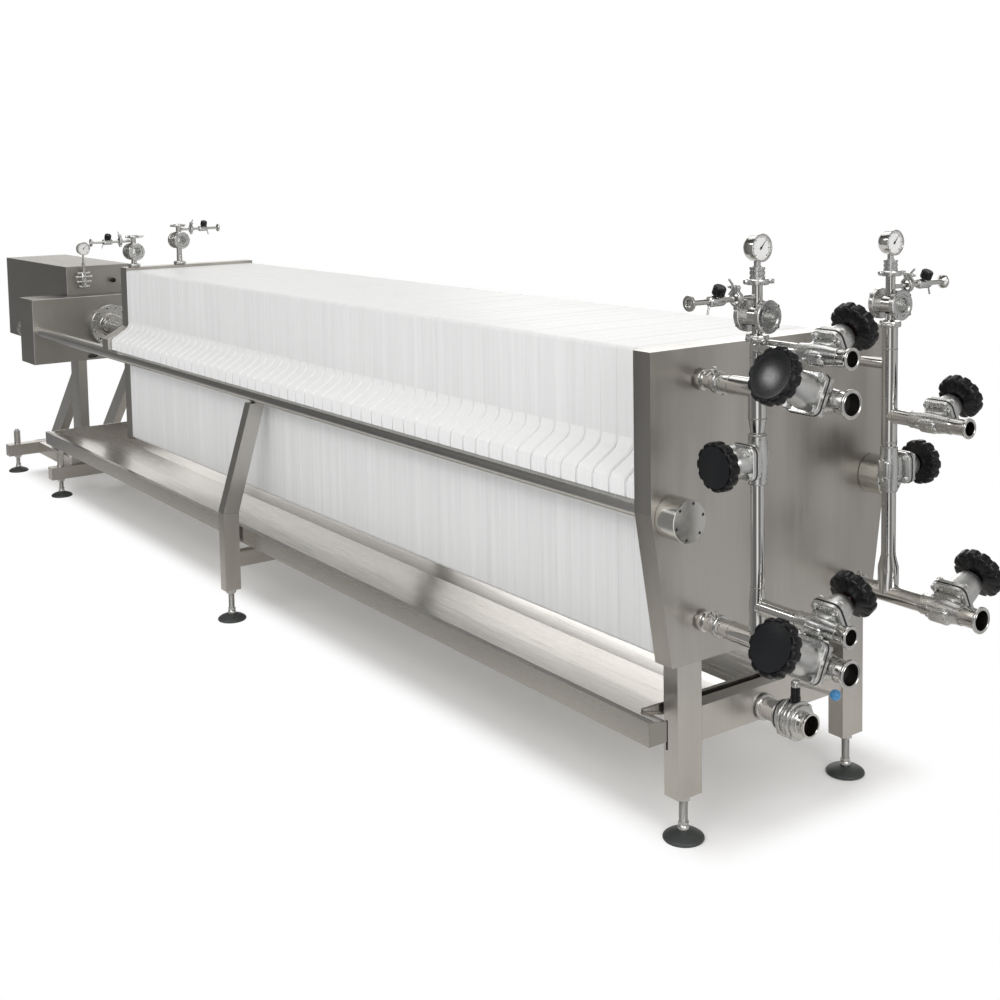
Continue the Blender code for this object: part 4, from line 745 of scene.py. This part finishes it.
form.lathe([(0.085, 0.043), (0.118, 0.043)], place, X_AXIS, CAST_STEEL, 56, 0)
for k in range(4):
    angle = math.radians(45 + k * 90)
    spot = place + Vector((0.116, math.cos(angle) * 0.043, math.sin(angle) * 0.043))
    form.bolt(spot, X_AXIS, 0.0040, washer=False)
    form.bolt(spot - X_AXIS * 0.0405, -X_AXIS, 0.0040, washer=False)
form.lathe([(0.124, 0.030), (0.126, 0.027), (0.140, 0.027), (0.146, 0.031), (0.152, 0.031), (0.152, 0.0258),
            (0.150, 0.0252)], place, X_AXIS, BRIGHT_STEEL, 56, 0.0006)
# The drain's bore is dark steel closed by a black disc: painted shade inside it.
form.lathe([(0.150, 0.0252), (0.110, 0.0250)], place, X_AXIS, BORE_PAINTED_SHADE, 56, 0)
form.lathe([(0.110, 0.0250), (0.1101, 0)], place, X_AXIS, GASKET_AND_PAINTED_SHADE, 56, 0)
form.lathe([(0.045, 0), (0.045, 0.013), (0.060, 0.013), (0.060, 0.012), (0.0837, 0.012), (0.0837, 0)],
           place + X_AXIS * 0.10, Z_AXIS, BLACK_PLASTIC, 40, 0.0008)
form.finish("press", ["drain_valve"])

form = Form("lever")
pivot = Vector((0.10, DRAIN_Y, 0.3643))
form.lathe([(0, 0), (0, 0.011), (0.014, 0.011), (0.018, 0.008), (0.018, 0)], pivot, Z_AXIS, CAST_STEEL, 32, 0.0008)
tip = pivot + Vector((0.127, 0, 0.0188))
form.rod(pivot + Vector((0.004, 0, 0.0108)), tip, 0.0042, BOLT_STEEL, 20)
ball = [(-0.0135 * math.cos(math.pi * i / 20), 0.0135 * math.sin(math.pi * i / 20)) for i in range(21)]
form.lathe([(h, max(r, 0.0) if 0 < i < 20 else 0) for i, (h, r) in enumerate(ball)], tip, X_AXIS, BLUE_PLASTIC, 40, 0)
form.finish("drain_lever", ["drain_lever"])


# Diaphragm valves and pipework

PORT_Y = 0.26
TOP_PORT = 1.150
BOTTOM_PORT = 0.555
RISER_SPAN = TOP_PORT - BOTTOM_PORT
LEFT_X = 0.183
RIGHT_X = 0.142
LEFT_MIDDLE = BOTTOM_PORT + RISER_SPAN * 0.723
RIGHT_MIDDLE = BOTTOM_PORT + RISER_SPAN * 0.5473
LEFT_UPPER = TOP_PORT + 0.098
LEFT_LOWER = BOTTOM_PORT + 0.083
RIGHT_BRANCH = RIGHT_MIDDLE + 0.138
TILT = math.radians(25)
LARGE = {"half": 0.058, "body": 0.031, "flange": 0.048, "bonnet": 0.040, "base": 0.133, "wheel": 0.0660,
         "pipe": 0.0235, "ferrule": 0.033, "bore": 0.025, "screw": 0.0050}
SMALL = {"half": 0.058, "body": 0.025, "flange": 0.040, "bonnet": 0.033, "base": 0.102, "wheel": 0.0580,
         "pipe": 0.0190, "ferrule": 0.02525, "bore": 0.018, "screw": 0.0042}


def rounded_square(half, radius, steps=5):
    points = []
    for x_side, y_side, start in ((1, 1, 0), (-1, 1, 90), (-1, -1, 180), (1, -1, 270)):
        points += arc((x_side * (half - radius), y_side * (half - radius)), radius, start, start + 90, steps)
    return points


def valve(form, centre, run, spindle, size, ferrule_x=None, indicator=False):
    """A diaphragm valve: cast body, two flanges on the diaphragm, bolts, bonnet, and its open ferrule."""
    centre = Vector(centre)
    half = size["half"]
    pipe = size["pipe"]
    belly = size["body"]
    end = pipe * 1.12
    swell = [(-half, 0), (-half, end), (-half * 0.72, end * 1.02), (-half * 0.4, belly * 0.98), (0, belly * 1.02),
             (half * 0.4, belly * 0.98), (half * 0.72, end * 1.02), (half, end), (half, 0)]
    form.lathe(swell, centre, run, CAST_STEEL, 56, 0.0006)
    across = Vector(spindle).cross(run)
    turn = Matrix.Translation(centre) @ Matrix((run, across, spindle)).transposed().to_4x4()
    form.block((-belly * 1.3, -belly * 0.93, -belly * 0.3), (belly * 1.3, belly * 0.93, 0.033), CAST_STEEL, 0.011, turn,
               4)
    form.block((-belly * 1.05, -belly * 0.72, -belly * 1.10), (belly * 1.05, belly * 0.72, 0), CAST_STEEL, 0.010, turn, 4)
    for flip in (-1, 1):
        rib = [(flip * half * 0.78, pipe * 0.6), (flip * belly * 1.0, 0.031), (flip * belly * 0.2, 0.031),
               (flip * belly * 0.2, pipe * 0.6)]
        form.prism(rib, -0.0030, 0.0030, CAST_STEEL, "Y", 0.0012, turn)
        form.lathe([(0, 0), (0, 0.0055), (0.006, 0.0050), (0.006, 0)], turn @ Vector((flip * half * 0.45, 0, -belly)),
                   -Vector(spindle), CAST_STEEL, 20, 0.0008)
    square = rounded_square(size["flange"], 0.018)
    form.prism(square, 0.030, 0.0402, CAST_STEEL, "Z", 0.0014, turn)
    form.prism(rounded_square(size["flange"] + 0.0010, 0.0185), 0.0400, 0.0436, GASKET_AND_PAINTED_SHADE, "Z", 0.0006, turn)
    form.prism(square, 0.0434, 0.0540, CAST_STEEL, "Z", 0.0014, turn)
    corner = size["flange"] - 0.0115
    for a in (-1, 1):
        for b in (-1, 1):
            form.bolt(turn @ Vector((a * corner, b * corner, 0.054)), spindle, size["screw"])
            form.bolt(turn @ Vector((a * corner, b * corner, 0.030)), -Vector(spindle), size["screw"], washer=False)
    top = size["base"] - 0.006
    bonnet = size["bonnet"]
    form.lathe([(0.050, 0), (0.050, bonnet * 1.02), (0.058, bonnet * 1.02), (0.066, bonnet * 0.99),
                (0.066 + (top - 0.066) * 0.40, bonnet * 0.93), (0.066 + (top - 0.066) * 0.7, bonnet * 0.86),
                (top - 0.005, bonnet * 0.78), (top - 0.001, bonnet * 0.66), (top, 0.016), (top, 0)], centre, spindle,
               BOLT_STEEL, 64, 0.0012)
    form.lathe([(top, 0), (top, 0.0058), (top + 0.0155, 0.0058), (top + 0.0155, 0)], centre, spindle, BRIGHT_STEEL, 20)
    if indicator:
        form.lathe([(top - 0.001, 0.008), (top - 0.001, bonnet * 0.52), (top + 0.0025, bonnet * 0.50),
                    (top + 0.0025, 0.008)], centre, spindle, RED_PLASTIC, 40, 0.0006)
    for flip in (-1, 1):
        form.ring(centre + run * flip * (half - 0.001), run, pipe * 1.10, 0.0010)
    if ferrule_x:
        reach = ferrule_x - centre.x
        rim = reach - 0.006
        outside = pipe * 1.06
        bore = size["bore"]
        form.lathe([(half - 0.004, outside * 0.9), (half - 0.004, outside), (rim - 0.006, outside),
                    (rim, size["ferrule"]), (reach - 0.0008, size["ferrule"]), (reach, size["ferrule"] * 0.97),
                    (reach, bore * 1.16), (reach - 0.0012, bore * 1.12), (reach - 0.0012, bore * 1.05), (reach, bore),
                    (reach - 0.003, bore * 0.985)], centre, run, BRIGHT_STEEL, 64, 0.0005)
        # Inside the ferrule the bore turns to dark steel and is closed by a black disc: painted shade.
        throat = half + 0.006
        form.lathe([(reach - 0.003, bore * 0.985), (throat, bore * 0.97)], centre, run, BORE_PAINTED_SHADE, 64, 0)
        form.lathe([(throat, bore * 0.97), (throat + 0.0001, 0)], centre, run, GASKET_AND_PAINTED_SHADE, 64, 0)


def outlet(label, x, y, z, side, size, ferrule_x, indicator=False):
    spindle = Vector((0, side * math.cos(TILT), math.sin(TILT)))
    form = Form(f"outlet_{label}")
    valve(form, (x, y, z), X_AXIS, spindle, size, ferrule_x, indicator)
    form.finish("press", [f"valve_{label}"])
    handwheel(label, (x, y, z), spindle, size)


def handwheel(label, centre, spindle, size):
    form = Form(f"wheel_{label}")
    form.wheel(Vector(centre) + spindle * size["base"], spindle, size["wheel"])
    form.finish(f"handwheel_{label}", [f"handwheel_{label}"])


LEFT_VALVE_X = 0.370
LEFT_FERRULE_X = 0.460
outlet("left_top", LEFT_VALVE_X, -PORT_Y, TOP_PORT, -1, LARGE, LEFT_FERRULE_X)
outlet("left_top_small", LEFT_VALVE_X, -PORT_Y, LEFT_UPPER, 1, SMALL, LEFT_FERRULE_X, True)
outlet("left_bottom", LEFT_VALVE_X, -PORT_Y, BOTTOM_PORT, -1, LARGE, LEFT_FERRULE_X)
outlet("left_bottom_small", LEFT_VALVE_X, -PORT_Y, LEFT_LOWER, 1, SMALL, LEFT_FERRULE_X, True)
outlet("right_top", 0.272, PORT_Y, RIGHT_BRANCH, 1, SMALL, 0.382)
outlet("right_bottom", 0.312, PORT_Y, BOTTOM_PORT, 1, LARGE, 0.422)


def port(form, y, z, end, radius):
    """A pipe from the head along X: a root ring, a clamp with its bolt and a cone to the full width."""
    place = Vector((0, y, z))
    slim = radius * 0.88
    form.lathe([(0.0003, slim), (0.0060, slim), (0.0080, slim + 0.006), (0.0160, slim + 0.006), (0.0185, slim),
                (0.070, slim), (0.104, radius), (end, radius)], place, X_AXIS, BRIGHT_STEEL, 64, 0.0006)
    form.clamp(place + X_AXIS * 0.058, X_AXIS, slim + 0.0075, (0, -0.6, 1), 0.016, nut=False)
    form.ring(place + X_AXIS * 0.071, X_AXIS, slim, 0.0008)
    form.ring(place + X_AXIS * 0.105, X_AXIS, radius, 0.0008)


def riser(form, profile, x, y):
    form.lathe(profile, (x, y, 0), Z_AXIS, BRIGHT_STEEL, 64, 0.0008)


form = Form("pipes_left")
x = LEFT_X
y = -PORT_Y
LEFT_LARGE_END = LEFT_VALVE_X - LARGE["half"] - 0.0003
LEFT_SMALL_END = LEFT_VALVE_X - SMALL["half"] - 0.0003
port(form, y, TOP_PORT, LEFT_LARGE_END, 0.0235)
port(form, y, BOTTOM_PORT, LEFT_LARGE_END, 0.0235)
riser(form, [(BOTTOM_PORT, 0), (BOTTOM_PORT, 0.0200), (0.648, 0.0200), (0.682, 0.0165), (1.050, 0.0165),
             (1.080, 0.0215), (TOP_PORT, 0.0215), (TOP_PORT + 0.030, 0.0180), (1.2622, 0.0180), (1.2622, 0.0245),
             (1.2682, 0.0265), (1.2682, 0)], x, y)
for z, radius in ((BOTTOM_PORT + 0.0235, 0.0200), (0.684, 0.0165), (1.048, 0.0165), (1.082, 0.0215),
                  (TOP_PORT + 0.031, 0.0180), (1.225, 0.0180)):
    form.ring((x, y, z), Z_AXIS, radius, 0.0009)
for z in (LEFT_UPPER, LEFT_LOWER):
    form.rod((x, y, z), (LEFT_SMALL_END, y, z), 0.019, BRIGHT_STEEL, 56)
    form.ring((x + 0.022, y, z), X_AXIS, 0.019, 0.0010)
form.ring((x + 0.026, y, TOP_PORT), X_AXIS, 0.0235, 0.0010)
form.ring((x + 0.026, y, BOTTOM_PORT), X_AXIS, 0.0235, 0.0010)
valve(form, (x, y, LEFT_MIDDLE), Z_AXIS, -Y_AXIS, SMALL)
form.finish("press", ["manifold_left"])
handwheel("left_middle", (x, y, LEFT_MIDDLE), -Y_AXIS, SMALL)

form = Form("pipes_right")
x = RIGHT_X
y = PORT_Y
port(form, y, BOTTOM_PORT, 0.312 - LARGE["half"] - 0.0003, 0.0235)
form.rod((0.0003, y, TOP_PORT), (x, y, TOP_PORT), 0.0145, BRIGHT_STEEL, 56)
riser(form, [(BOTTOM_PORT, 0), (BOTTOM_PORT, 0.0235), (0.585, 0.0262), (0.625, 0.0262), (0.658, 0.0182),
             (0.935, 0.0182), (0.945, 0.0198), (1.2472, 0.0198), (1.2472, 0.0245), (1.2532, 0.0265), (1.2532, 0)], x, y)
for z, radius in ((0.660, 0.0182), (0.950, 0.0198), (1.19, 0.0198)):
    form.ring((x, y, z), Z_AXIS, radius, 0.0009)
form.rod((x, y, RIGHT_BRANCH), (0.272 - SMALL["half"] - 0.0003, y, RIGHT_BRANCH), 0.019, BRIGHT_STEEL, 56)
form.ring((x + 0.022, y, RIGHT_BRANCH), X_AXIS, 0.019, 0.0010)
valve(form, (x, y, RIGHT_MIDDLE), Z_AXIS, Y_AXIS, SMALL)
form.finish("press", ["manifold_right"])
handwheel("right_middle", (x, y, RIGHT_MIDDLE), Y_AXIS, SMALL)


# Instruments and vents

def sight(form, centre):
    """A hollow sight glass with its cross body along X: a bolted ring and a clear glass at each end."""
    centre = Vector(centre)
    form.lathe([(-0.030, 0.0195), (-0.030, 0.0235), (0.030, 0.0235), (0.030, 0.0195), (-0.030, 0.0195)], centre, X_AXIS,
               BRIGHT_STEEL, 56, 0)
    for flip in (-1, 1):
        way = X_AXIS * flip
        form.lathe([(0.024, 0.0195), (0.024, 0.0375), (0.0255, 0.0390), (0.0375, 0.0390), (0.040, 0.0370),
                    (0.040, 0.0285), (0.0365, 0.0265), (0.0365, 0.0225), (0.0385, 0.0215), (0.0385, 0.0195),
                    (0.024, 0.0195)], centre, way, CAST_STEEL, 64, 0)
        form.lathe([(0.030, 0), (0.030, 0.0196), (0.0335, 0.0196), (0.0335, 0)], centre, way, GLASS, 56, 0)
        for k in range(4):
            angle = math.radians(45 + k * 90)
            spot = centre + way * 0.040 + Vector((0, math.cos(angle), math.sin(angle))) * 0.0335
            form.cap_screw(spot, way, 0.0042, 0.0035)


def sample(form, start, direction, reach, knob_up=True):
    """A small tube with a needle valve: clamp, body, ribbed knob and an end ferrule."""
    start = Vector(start)
    way = Vector(direction)
    form.rod(start, start + way * (reach - 0.004), 0.0065, BRIGHT_STEEL, 24)
    form.clamp(start + way * reach * 0.31, way, 0.0185, Z_AXIS if knob_up else -Z_AXIS, 0.012)
    form.lathe([(0, 0), (0, 0.011), (0.006, 0.013), (reach * 0.2, 0.013), (reach * 0.22, 0.009), (reach * 0.22, 0)],
               start + way * reach * 0.50, way, CAST_STEEL, 32, 0.001)
    middle = start + way * reach * 0.61
    lean = (Z_AXIS + X_AXIS * 0.45).normalized()
    form.lathe([(0, 0), (0, 0.009), (0.016, 0.009), (0.016, 0)], middle, lean, CAST_STEEL, 24, 0.0008)
    form.lathe([(0.014, 0), (0.014, 0.0125), (0.017, 0.0150), (0.034, 0.0150), (0.037, 0.0125), (0.037, 0)], middle, lean,
               BLACK_PLASTIC, 60, 0.0006, lambda a, r: r * (1 - 0.08 * (1 - math.cos(15 * a)) / 2) if r > 0.012 else r)
    form.rod(middle + way * 0.018, middle + way * 0.026 - Z_AXIS * 0.030, 0.0025, CAST_STEEL, 12)
    form.lathe([(-0.012, 0.0065), (-0.006, 0.018), (-0.0005, 0.018), (0, 0.0172), (0, 0.010), (-0.008, 0.008),
                (-0.008, 0)], start + way * reach, way, BRIGHT_STEEL, 40, 0.0005)


def stack(label, x, side, base):
    """On each riser: clamp, sight glass, sample valve, top clamp and the gauge."""
    y = side * PORT_Y
    form = Form(f"stack_{label}")
    form.lathe([(0, 0), (0, 0.0245), (0.006, 0.0245), (0.010, 0.013), (0.027, 0.013), (0.027, 0)], (x, y, base), Z_AXIS,
               BRIGHT_STEEL, 40, 0.0008)
    form.lathe([(0.073, 0), (0.073, 0.013), (0.165, 0.012), (0.165, 0)], (x, y, base), Z_AXIS, BRIGHT_STEEL, 40, 0.0008)
    form.clamp((x, y, base), Z_AXIS, 0.0275, (0.3, -1, 0), 0.015)
    sight(form, (x, y, base + 0.050))
    sample(form, (x, y, base + 0.094), Y_AXIS * side, 0.215)
    form.clamp((x, y, base + 0.129), Z_AXIS, 0.0275, (0.3, 1, 0), 0.014)
    form.lathe([(0.134, 0), (0.134, 0.0180), (0.142, 0.0180), (0.1425, 0.0165), (0.1445, 0.0165), (0.145, 0.0180),
                (0.153, 0.0180), (0.1535, 0.0165), (0.1555, 0.0165), (0.156, 0.0180), (0.163, 0.0180), (0.164, 0.0080),
                (0.180, 0.0080), (0.180, 0)], (x, y, base), Z_AXIS, CAST_STEEL, 40, 0.0003)
    gauge(form, (x, y, base + 0.2065), X_AXIS, 0.0325)
    form.finish("press", [f"instruments_{label}"])


stack("left", LEFT_X, -1, 1.2685)
stack("right", RIGHT_X, 1, 1.2535)


def vent(label, y, rise, way):
    x = MOVING_REAR + 0.035
    top = 1.2253
    end = rise + 0.075
    form = Form(f"top_vent_{label}")
    form.lathe([(0, 0), (0, 0.0245), (0.006, 0.0245), (0.010, 0.013), (rise - 0.023, 0.012), (rise - 0.023, 0)],
               (x, y, top), Z_AXIS, BRIGHT_STEEL, 40, 0.0008)
    form.lathe([(rise + 0.023, 0), (rise + 0.023, 0.012), (end - 0.010, 0.012), (end - 0.010, 0)], (x, y, top), Z_AXIS,
               BRIGHT_STEEL, 40, 0.0008)
    form.clamp((x, y, top + 0.008), Z_AXIS, 0.0275, (1, -0.3, 0), 0.014)
    sight(form, (x, y, top + rise))
    sample(form, (x, y, top + rise + 0.050), way, 0.20)
    form.clamp((x, y, top + end - 0.007), Z_AXIS, 0.0275, (0.2, -way.y, 0), 0.013)
    form.finish("moving_head", [f"vent_{label}"])


vent("left", -0.26, 0.070, -Y_AXIS)
vent("right", -0.04, 0.112, Y_AXIS)


# Floor, light and camera

PANELS = ((-180, 0.30), (-168, 0.26), (-158, 0.10), (-146, 0.14), (-132, 0.30), (-100, 0.18), (-64, 0.20),
          (-55, 1.15), (-40, 1.15), (-31, 0.22), (-6, 0.18), (8, 0.62), (32, 0.60), (60, 0.48), (80, 0.52),
          (92, 0.20), (112, 0.22), (124, 1.1), (146, 1.1), (156, 1.3), (168, 1.3), (180, 0.30))


def studio_panels(tree, way):
    """How bright the studio is in a direction round the press: tall light panels with dark gaps between them."""
    parts = add(tree, "SeparateXYZ", {0: way}).outputs
    turn = add(tree, "Math", {0: parts["Y"], 1: parts["X"]}, operation="ARCTAN2").outputs[0]
    share = add(tree, "MapRange", {"Value": turn, "From Min": -math.pi, "From Max": math.pi}).outputs["Result"]
    ramp = add(tree, "ValToRGB", {0: share})
    elements = ramp.color_ramp.elements
    for end in (0, -1):
        elements[end].color = (*[PANELS[end][1]] * 3, 1)
    for degrees, strength in PANELS[1:-1]:
        elements.new((degrees + 180) / 360).color = (strength, strength, strength, 1)
    return ramp.outputs["Color"]


def floor():
    bm = bmesh.new()
    bmesh.ops.create_grid(bm, x_segments=1, y_segments=1, size=60)
    mesh = bpy.data.meshes.new("floor")
    bm.to_mesh(mesh)
    bm.free()
    made = bpy.data.objects.new("floor", mesh)
    bpy.context.scene.collection.objects.link(made)
    pale = bpy.data.materials.new("pale_floor")
    pale.use_nodes = True
    tree = pale.node_tree
    shader = fill(tree.nodes["Principled BSDF"], {
        "Base Color": (0.90, 0.90, 0.90, 1), "Roughness": 0.9, "Specular IOR Level": 0.0,
        "Emission Color": (1, 1, 1, 1), "Emission Strength": 0.12}).outputs[0]
    shade_centre = (SHIFT - 2.60, 0.08, 0)
    shade_half = (2.62, 0.33, 1)

    def step(operation, *values):
        return add(tree, "VectorMath", dict(enumerate(values)), operation=operation).outputs

    place = add(tree, "NewGeometry", {}).outputs["Position"]
    from_head = step("SUBTRACT", place, (SHIFT, 0, 0))["Vector"]
    aside = step("ABSOLUTE", step("SUBTRACT", place, shade_centre)["Vector"])["Vector"]
    beyond = step("MAXIMUM", step("SUBTRACT", aside, shade_half)["Vector"], (0, 0, 0))["Vector"]
    distance = step("LENGTH", beyond)["Value"]

    def fade(inner, outer, start, end):
        """One shader near the press, another away from it."""
        share = add(tree, "MapRange", {"Value": distance, "From Min": start, "From Max": end},
                    interpolation_type="SMOOTHSTEP").outputs["Result"]
        return add(tree, "MixShader", {0: share, 1: inner, 2: outer}).outputs[0]

    white = add(tree, "Emission", {"Color": (1, 1, 1, 1)}).outputs[0]
    dim = add(tree, "Emission", {"Color": studio_panels(tree, from_head), "Strength": 0.9}).outputs[0]
    lit = add(tree, "BsdfDiffuse", {"Color": (0.75, 0.73, 0.70, 1)}).outputs[0]
    mirrored = add(tree, "LightPath", {}).outputs["Is Glossy Ray"]
    chosen = add(tree, "MixShader", {0: mirrored, 1: fade(shader, white, 0.0, 0.15), 2: fade(lit, dim, 0.4, 1.0)})
    fill(tree.nodes["Material Output"], {"Surface": chosen.outputs[0]})
    mesh.materials.append(pale)


def world():
    """White behind the press, an even soft sky as its light, and a studio of light and dark panels to reflect."""
    made = bpy.data.worlds.new("studio")
    bpy.context.scene.world = made
    made.use_nodes = True
    tree = made.node_tree
    tree.nodes.clear()
    way = add(tree, "TexCoord", {}).outputs["Generated"]
    height = add(tree, "SeparateXYZ", {0: way}).outputs["Z"]

    def between(low, high, least, most):
        """A level that changes smoothly with the height of the direction."""
        return add(tree, "MapRange", {"Value": height, "From Min": low, "From Max": high, "To Min": least,
                                      "To Max": most}, interpolation_type="SMOOTHSTEP").outputs["Result"]

    def background(colour, strength):
        return add(tree, "Background", {"Color": colour, "Strength": strength}).outputs[0]

    warm = (1.0, 0.985, 0.96, 1)
    mirrored = add(tree, "Math", {0: studio_panels(tree, way), 1: between(0.15, 0.75, 1.0, 0.6)},
                   operation="MULTIPLY").outputs[0]
    path = add(tree, "LightPath", {}).outputs
    seen = background(warm, mirrored)
    for kind, level in (("Is Diffuse Ray", background(warm, between(-0.2, 0.9, 0.40, 0.58))),
                        ("Is Camera Ray", background((1, 1, 1, 1), 1.05))):
        seen = add(tree, "MixShader", {0: path[kind], 1: seen, 2: level}).outputs[0]
    add(tree, "OutputWorld", {"Surface": seen})


def softbox(name, place, target, width, height, power):
    light = bpy.data.lights.new(name, "AREA")
    light.shape = "RECTANGLE"
    light.size = width
    light.size_y = height
    light.energy = power
    made = bpy.data.objects.new(name, light)
    bpy.context.scene.collection.objects.link(made)
    made.location = place
    made.rotation_mode = "QUATERNION"
    made.rotation_quaternion = (Vector(target) - Vector(place)).to_track_quat("-Z", "Y")
    made.visible_camera = False


def camera():
    data = bpy.data.cameras.new("camera")
    data.lens = CAMERA_LENS
    data.sensor_width = 36
    data.shift_y = CAMERA_SHIFT
    data.clip_end = 200
    made = bpy.data.objects.new("camera", data)
    bpy.context.scene.collection.objects.link(made)
    turn = Matrix.Rotation(CAMERA_YAW, 4, "Z") @ Matrix.Rotation(math.pi / 2 - CAMERA_PITCH, 4, "X")
    turn = turn @ Matrix.Rotation(CAMERA_ROLL, 4, "Z")
    made.matrix_world = Matrix.Translation(Vector(CAMERA_PLACE) + X_AXIS * SHIFT) @ turn
    bpy.context.scene.camera = made


floor()
world()
softbox("key", (3.5, -6.0, 5.5), (0, 0, 0.8), 6, 4, 210)
softbox("front", (9.5, -1.5, 3.6), (2.5, 0, 0.9), 3.5, 3.0, 150)
softbox("top", (0, 0.5, 7.0), (0, 0, 0), 8, 4, 110)
softbox("back", (-3.0, 6.0, 4.0), (0, 0, 0.9), 6, 3, 90)
softbox("wheel_glint", (-0.25, -3.5, 3.45), (3.0, -0.3, 1.0), 0.75, 0.45, 9)
camera()
bpy.context.scene.view_settings.view_transform = "Standard"
bpy.context.scene.view_settings.look = "None"
